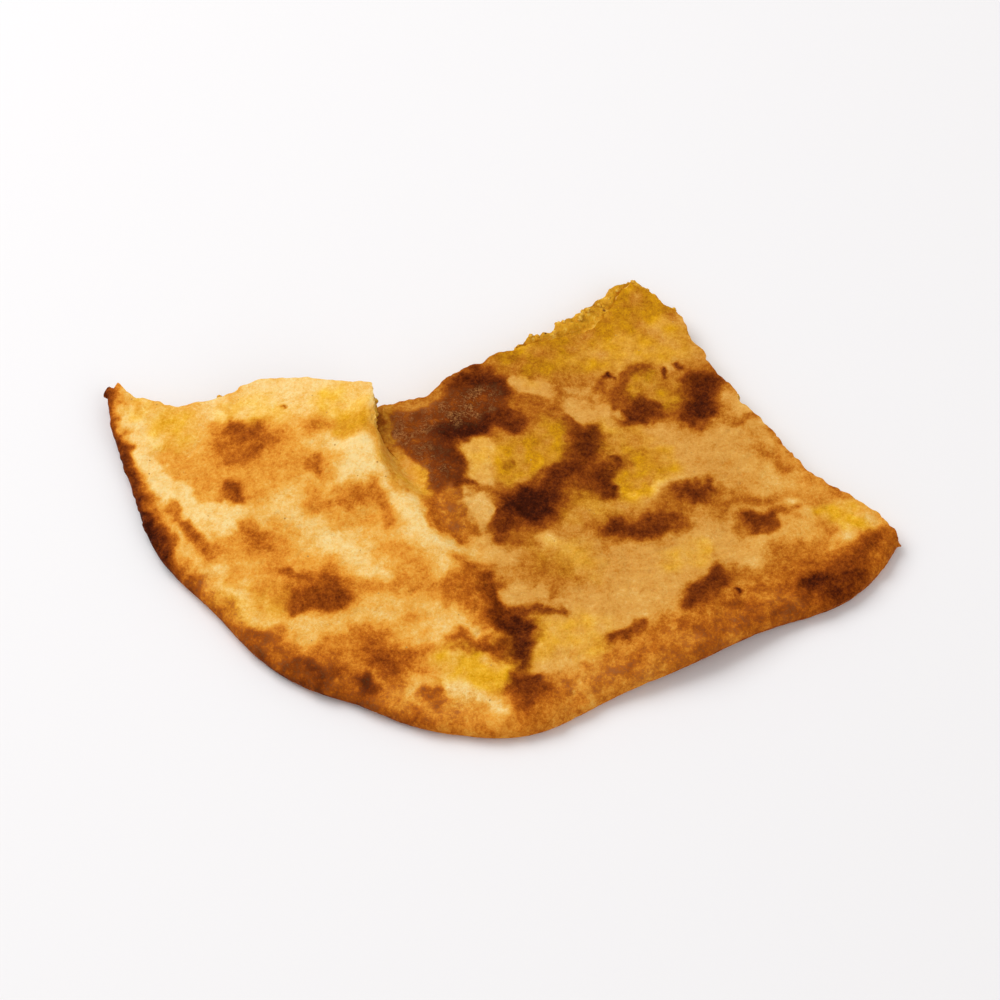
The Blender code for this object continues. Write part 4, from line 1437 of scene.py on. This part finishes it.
@dataclass(frozen=True)
class Scatter:
    """Small bits of one kind, spread by a seeded rule over the faces where an attribute is high."""

    name: str
    slot: str
    finish: Mash
    attribute: str
    least: float
    most: float
    per_square_mm: float
    smallest: float
    largest: float
    flatness: float
    facets: int
    seed: int
    lump_scale: float = 1.3
    long_sides: Pair = (0.6, 1.5)

    def tree(self) -> Tree:
        """Make the node tree that spreads, shapes and joins the bits."""
        tree = bpy.data.node_groups.new(self.name, "GeometryNodeTree")
        face = tree.interface
        face.new_socket("Surface", in_out="INPUT", socket_type="NodeSocketGeometry")
        for label in ("Bits per square metre", "Smallest", "Largest", "Flatness"):
            face.new_socket(label, in_out="INPUT", socket_type="NodeSocketFloat")
        face.new_socket("Seed", in_out="INPUT", socket_type="NodeSocketInt")
        face.new_socket("Bits", in_out="OUTPUT", socket_type="NodeSocketGeometry")
        given = add_node(tree, "NodeGroupInput", {}, {}).outputs
        value = add_node(tree, "GeometryNodeInputNamedAttribute", {"data_type": "FLOAT"},
                         {"Name": self.attribute})
        above = add_node(tree, "FunctionNodeCompare", {"operation": "GREATER_EQUAL"},
                         {"A": value.outputs["Attribute"], "B": self.least})
        below = add_node(tree, "FunctionNodeCompare", {"operation": "LESS_EQUAL"},
                         {"A": value.outputs["Attribute"], "B": self.most})
        chosen = add_node(tree, "FunctionNodeBooleanMath", {"operation": "AND"},
                          {0: above.outputs["Result"], 1: below.outputs["Result"]})
        spread = add_node(tree, "GeometryNodeDistributePointsOnFaces", {"distribute_method": "RANDOM"},
                          {"Mesh": given["Surface"], "Selection": chosen.outputs[0],
                           "Density": given["Bits per square metre"], "Seed": given["Seed"]})
        bit = add_node(tree, "GeometryNodeMeshIcoSphere", {}, {"Radius": 1.0, "Subdivisions": self.facets})
        lumps = add_node(tree, "ShaderNodeTexNoise", {}, {"Scale": self.lump_scale, "Detail": 1.0})
        centred = add_node(tree, "ShaderNodeVectorMath", {"operation": "SUBTRACT"},
                           {0: lumps.outputs["Color"], 1: (0.5, 0.5, 0.5)})
        lumpy = add_node(tree, "GeometryNodeSetPosition", {},
                         {"Geometry": bit.outputs["Mesh"], "Offset": centred.outputs[0]})
        size = add_node(tree, "FunctionNodeRandomValue", {"data_type": "FLOAT"},
                        {2: given["Smallest"], 3: given["Largest"], "Seed": given["Seed"]})
        long_side = add_node(tree, "FunctionNodeRandomValue", {"data_type": "FLOAT"},
                             {2: self.long_sides[0], 3: self.long_sides[1], "Seed": self.seed + 1})
        width = calculate(tree, "MULTIPLY", size.outputs[1], long_side.outputs[1])
        depth = calculate(tree, "MULTIPLY", size.outputs[1], given["Flatness"])
        scale = add_node(tree, "ShaderNodeCombineXYZ", {}, {"X": width, "Y": size.outputs[1], "Z": depth})
        spin = add_node(tree, "FunctionNodeRandomValue", {"data_type": "FLOAT"},
                        {2: 0.0, 3: 2 * math.pi, "Seed": self.seed + 2})
        upright = add_node(tree, "ShaderNodeCombineXYZ", {}, {"Z": spin.outputs[1]})
        turned = add_node(tree, "FunctionNodeRotateRotation", {"rotation_space": "LOCAL"},
                          {0: spread.outputs["Rotation"], 1: upright.outputs[0]})
        placed = add_node(tree, "GeometryNodeInstanceOnPoints", {},
                          {"Points": spread.outputs["Points"], "Instance": lumpy.outputs["Geometry"],
                           "Rotation": turned.outputs[0], "Scale": scale.outputs[0]})
        joined = add_node(tree, "GeometryNodeRealizeInstances", {}, {"Geometry": placed.outputs["Instances"]})
        finished = add_node(tree, "GeometryNodeSetMaterial", {}, {"Geometry": joined.outputs["Geometry"]})
        add_node(tree, "NodeGroupOutput", {}, {"Bits": finished.outputs["Geometry"]})
        return tree

    def build(self, host: bpy.types.Object) -> bpy.types.Object:
        """Spread the bits over a piece and make them a plain mesh of their own."""
        material = self.finish.build()
        tree = self.tree()
        for node in tree.nodes:
            if node.bl_idname == "GeometryNodeSetMaterial":
                node.inputs["Material"].default_value = material
        carrier = bpy.data.objects.new(self.name + "_carrier", host.data.copy())
        bpy.context.scene.collection.objects.link(carrier)
        modifier = carrier.modifiers.new("scatter", "NODES")
        modifier.node_group = tree
        values = {
            "Bits per square metre": self.per_square_mm / MM ** 2,
            "Smallest": self.smallest * MM,
            "Largest": self.largest * MM,
            "Flatness": self.flatness,
            "Seed": self.seed,
        }
        for item in tree.interface.items_tree:
            if item.name in values:
                modifier[item.identifier] = values[item.name]
        graph = bpy.context.evaluated_depsgraph_get()
        data = bpy.data.meshes.new_from_object(carrier.evaluated_get(graph), depsgraph=graph)
        carrier.modifiers.remove(modifier)
        bpy.data.objects.remove(carrier, do_unlink=True)
        return dress(data, self.name, material)


CRUMBS = Scatter(
    "potato_crumbs", "potato", DRY_CRUMB, "shows", least=0.9, most=1.0, per_square_mm=0.30,
    smallest=0.2, largest=0.55, flatness=0.8, facets=2, seed=3,
)
SPICE = Scatter(
    "spice_specks", "potato", CUMIN, "shows", least=0.95, most=1.0, per_square_mm=0.07,
    smallest=0.15, largest=0.4, flatness=0.4, facets=2, seed=8,
)
BRAN = Scatter(
    "bran_flecks", "dough", WHEAT_BRAN, "toast", least=0.02, most=0.42, per_square_mm=0.012,
    smallest=0.09, largest=0.2, flatness=0.3, facets=1, seed=14,
)


@dataclass
class Studio:
    """A plain pale floor, soft light from the upper left and the photograph's view, in metres."""

    azimuth: float = 0.0
    elevation: float = 55.0
    distance: float = 1.3
    frame_width: float = 0.177
    sensor: float = 36.0
    aim: tuple = (0.0, 0.0, 0.004)
    floor_size: float = 4.0
    floor_colour: str = "#ecebed"
    sky_colour: str = "#faf8f5"
    sky_strength: float = 0.56
    lamps: tuple = (("window", (-0.5, 0.35, 0.8), 0.8, 7.2), ("fill", (0.5, -0.6, 0.7), 0.9, 2.4))

    def floor(self) -> None:
        """A matt pale floor that the piece lies on."""
        data = bpy.data.meshes.new("floor")
        half = self.floor_size / 2
        corners = [(-half, -half, 0.0), (half, -half, 0.0), (half, half, 0.0), (-half, half, 0.0)]
        data.from_pydata(corners, [], [(0, 1, 2, 3)])
        material = bpy.data.materials.new("matt_white_card")
        material.use_nodes = True
        set_inputs(material.node_tree.nodes["Principled BSDF"], {
            "Base Color": linear(self.floor_colour),
            "Roughness": 0.9,
            "Specular IOR Level": 0.1,
        })
        data.materials.append(material)
        piece = bpy.data.objects.new("floor", data)
        bpy.context.scene.collection.objects.link(piece)

    def lamp(self, name: str, place: tuple, size: float, power: float) -> None:
        """A square soft lamp that shines at the piece."""
        light = bpy.data.lights.new(name, "AREA")
        light.shape = "SQUARE"
        light.size = size
        light.energy = power
        lamp = bpy.data.objects.new(name, light)
        lamp.location = place
        lamp.rotation_euler = (Vector(self.aim) - Vector(place)).to_track_quat("-Z", "Y").to_euler()
        bpy.context.scene.collection.objects.link(lamp)

    def camera(self) -> None:
        """The camera at the photograph's angle, framed on the piece."""
        view = bpy.data.cameras.new("camera")
        view.sensor_width = self.sensor
        view.lens = self.sensor * self.distance / self.frame_width
        view.clip_start = 0.01
        azimuth, elevation = math.radians(self.azimuth), math.radians(self.elevation)
        back = Vector((math.sin(azimuth) * math.cos(elevation), -math.cos(azimuth) * math.cos(elevation),
                       math.sin(elevation)))
        camera = bpy.data.objects.new("camera", view)
        camera.location = Vector(self.aim) + back * self.distance
        camera.rotation_euler = (-back).to_track_quat("-Z", "Y").to_euler()
        bpy.context.scene.collection.objects.link(camera)
        bpy.context.scene.camera = camera

    def build(self) -> None:
        """Set up floor, light, sky and camera."""
        scene = bpy.context.scene
        self.floor()
        for name, place, size, power in self.lamps:
            self.lamp(name, place, size, power)
        scene.world = bpy.data.worlds.new("studio")
        scene.world.use_nodes = True
        sky = scene.world.node_tree.nodes["Background"]
        sky.inputs["Color"].default_value = linear(self.sky_colour)
        sky.inputs["Strength"].default_value = self.sky_strength
        scene.view_settings.view_transform = "Standard"
        self.camera()


def main() -> None:
    """Build the pieces in order, then the studio."""
    logging.basicConfig(level=logging.INFO, format="%(name)s %(message)s")
    layers = Layers()
    dough = Dough(layers, Toasting()).build()
    potato = Potato(layers).build()
    for scatter, host in ((CRUMBS, potato), (SPICE, potato), (BRAN, dough)):
        scatter.build(host)
    Studio().build()


if __name__ == "__main__":
    main()
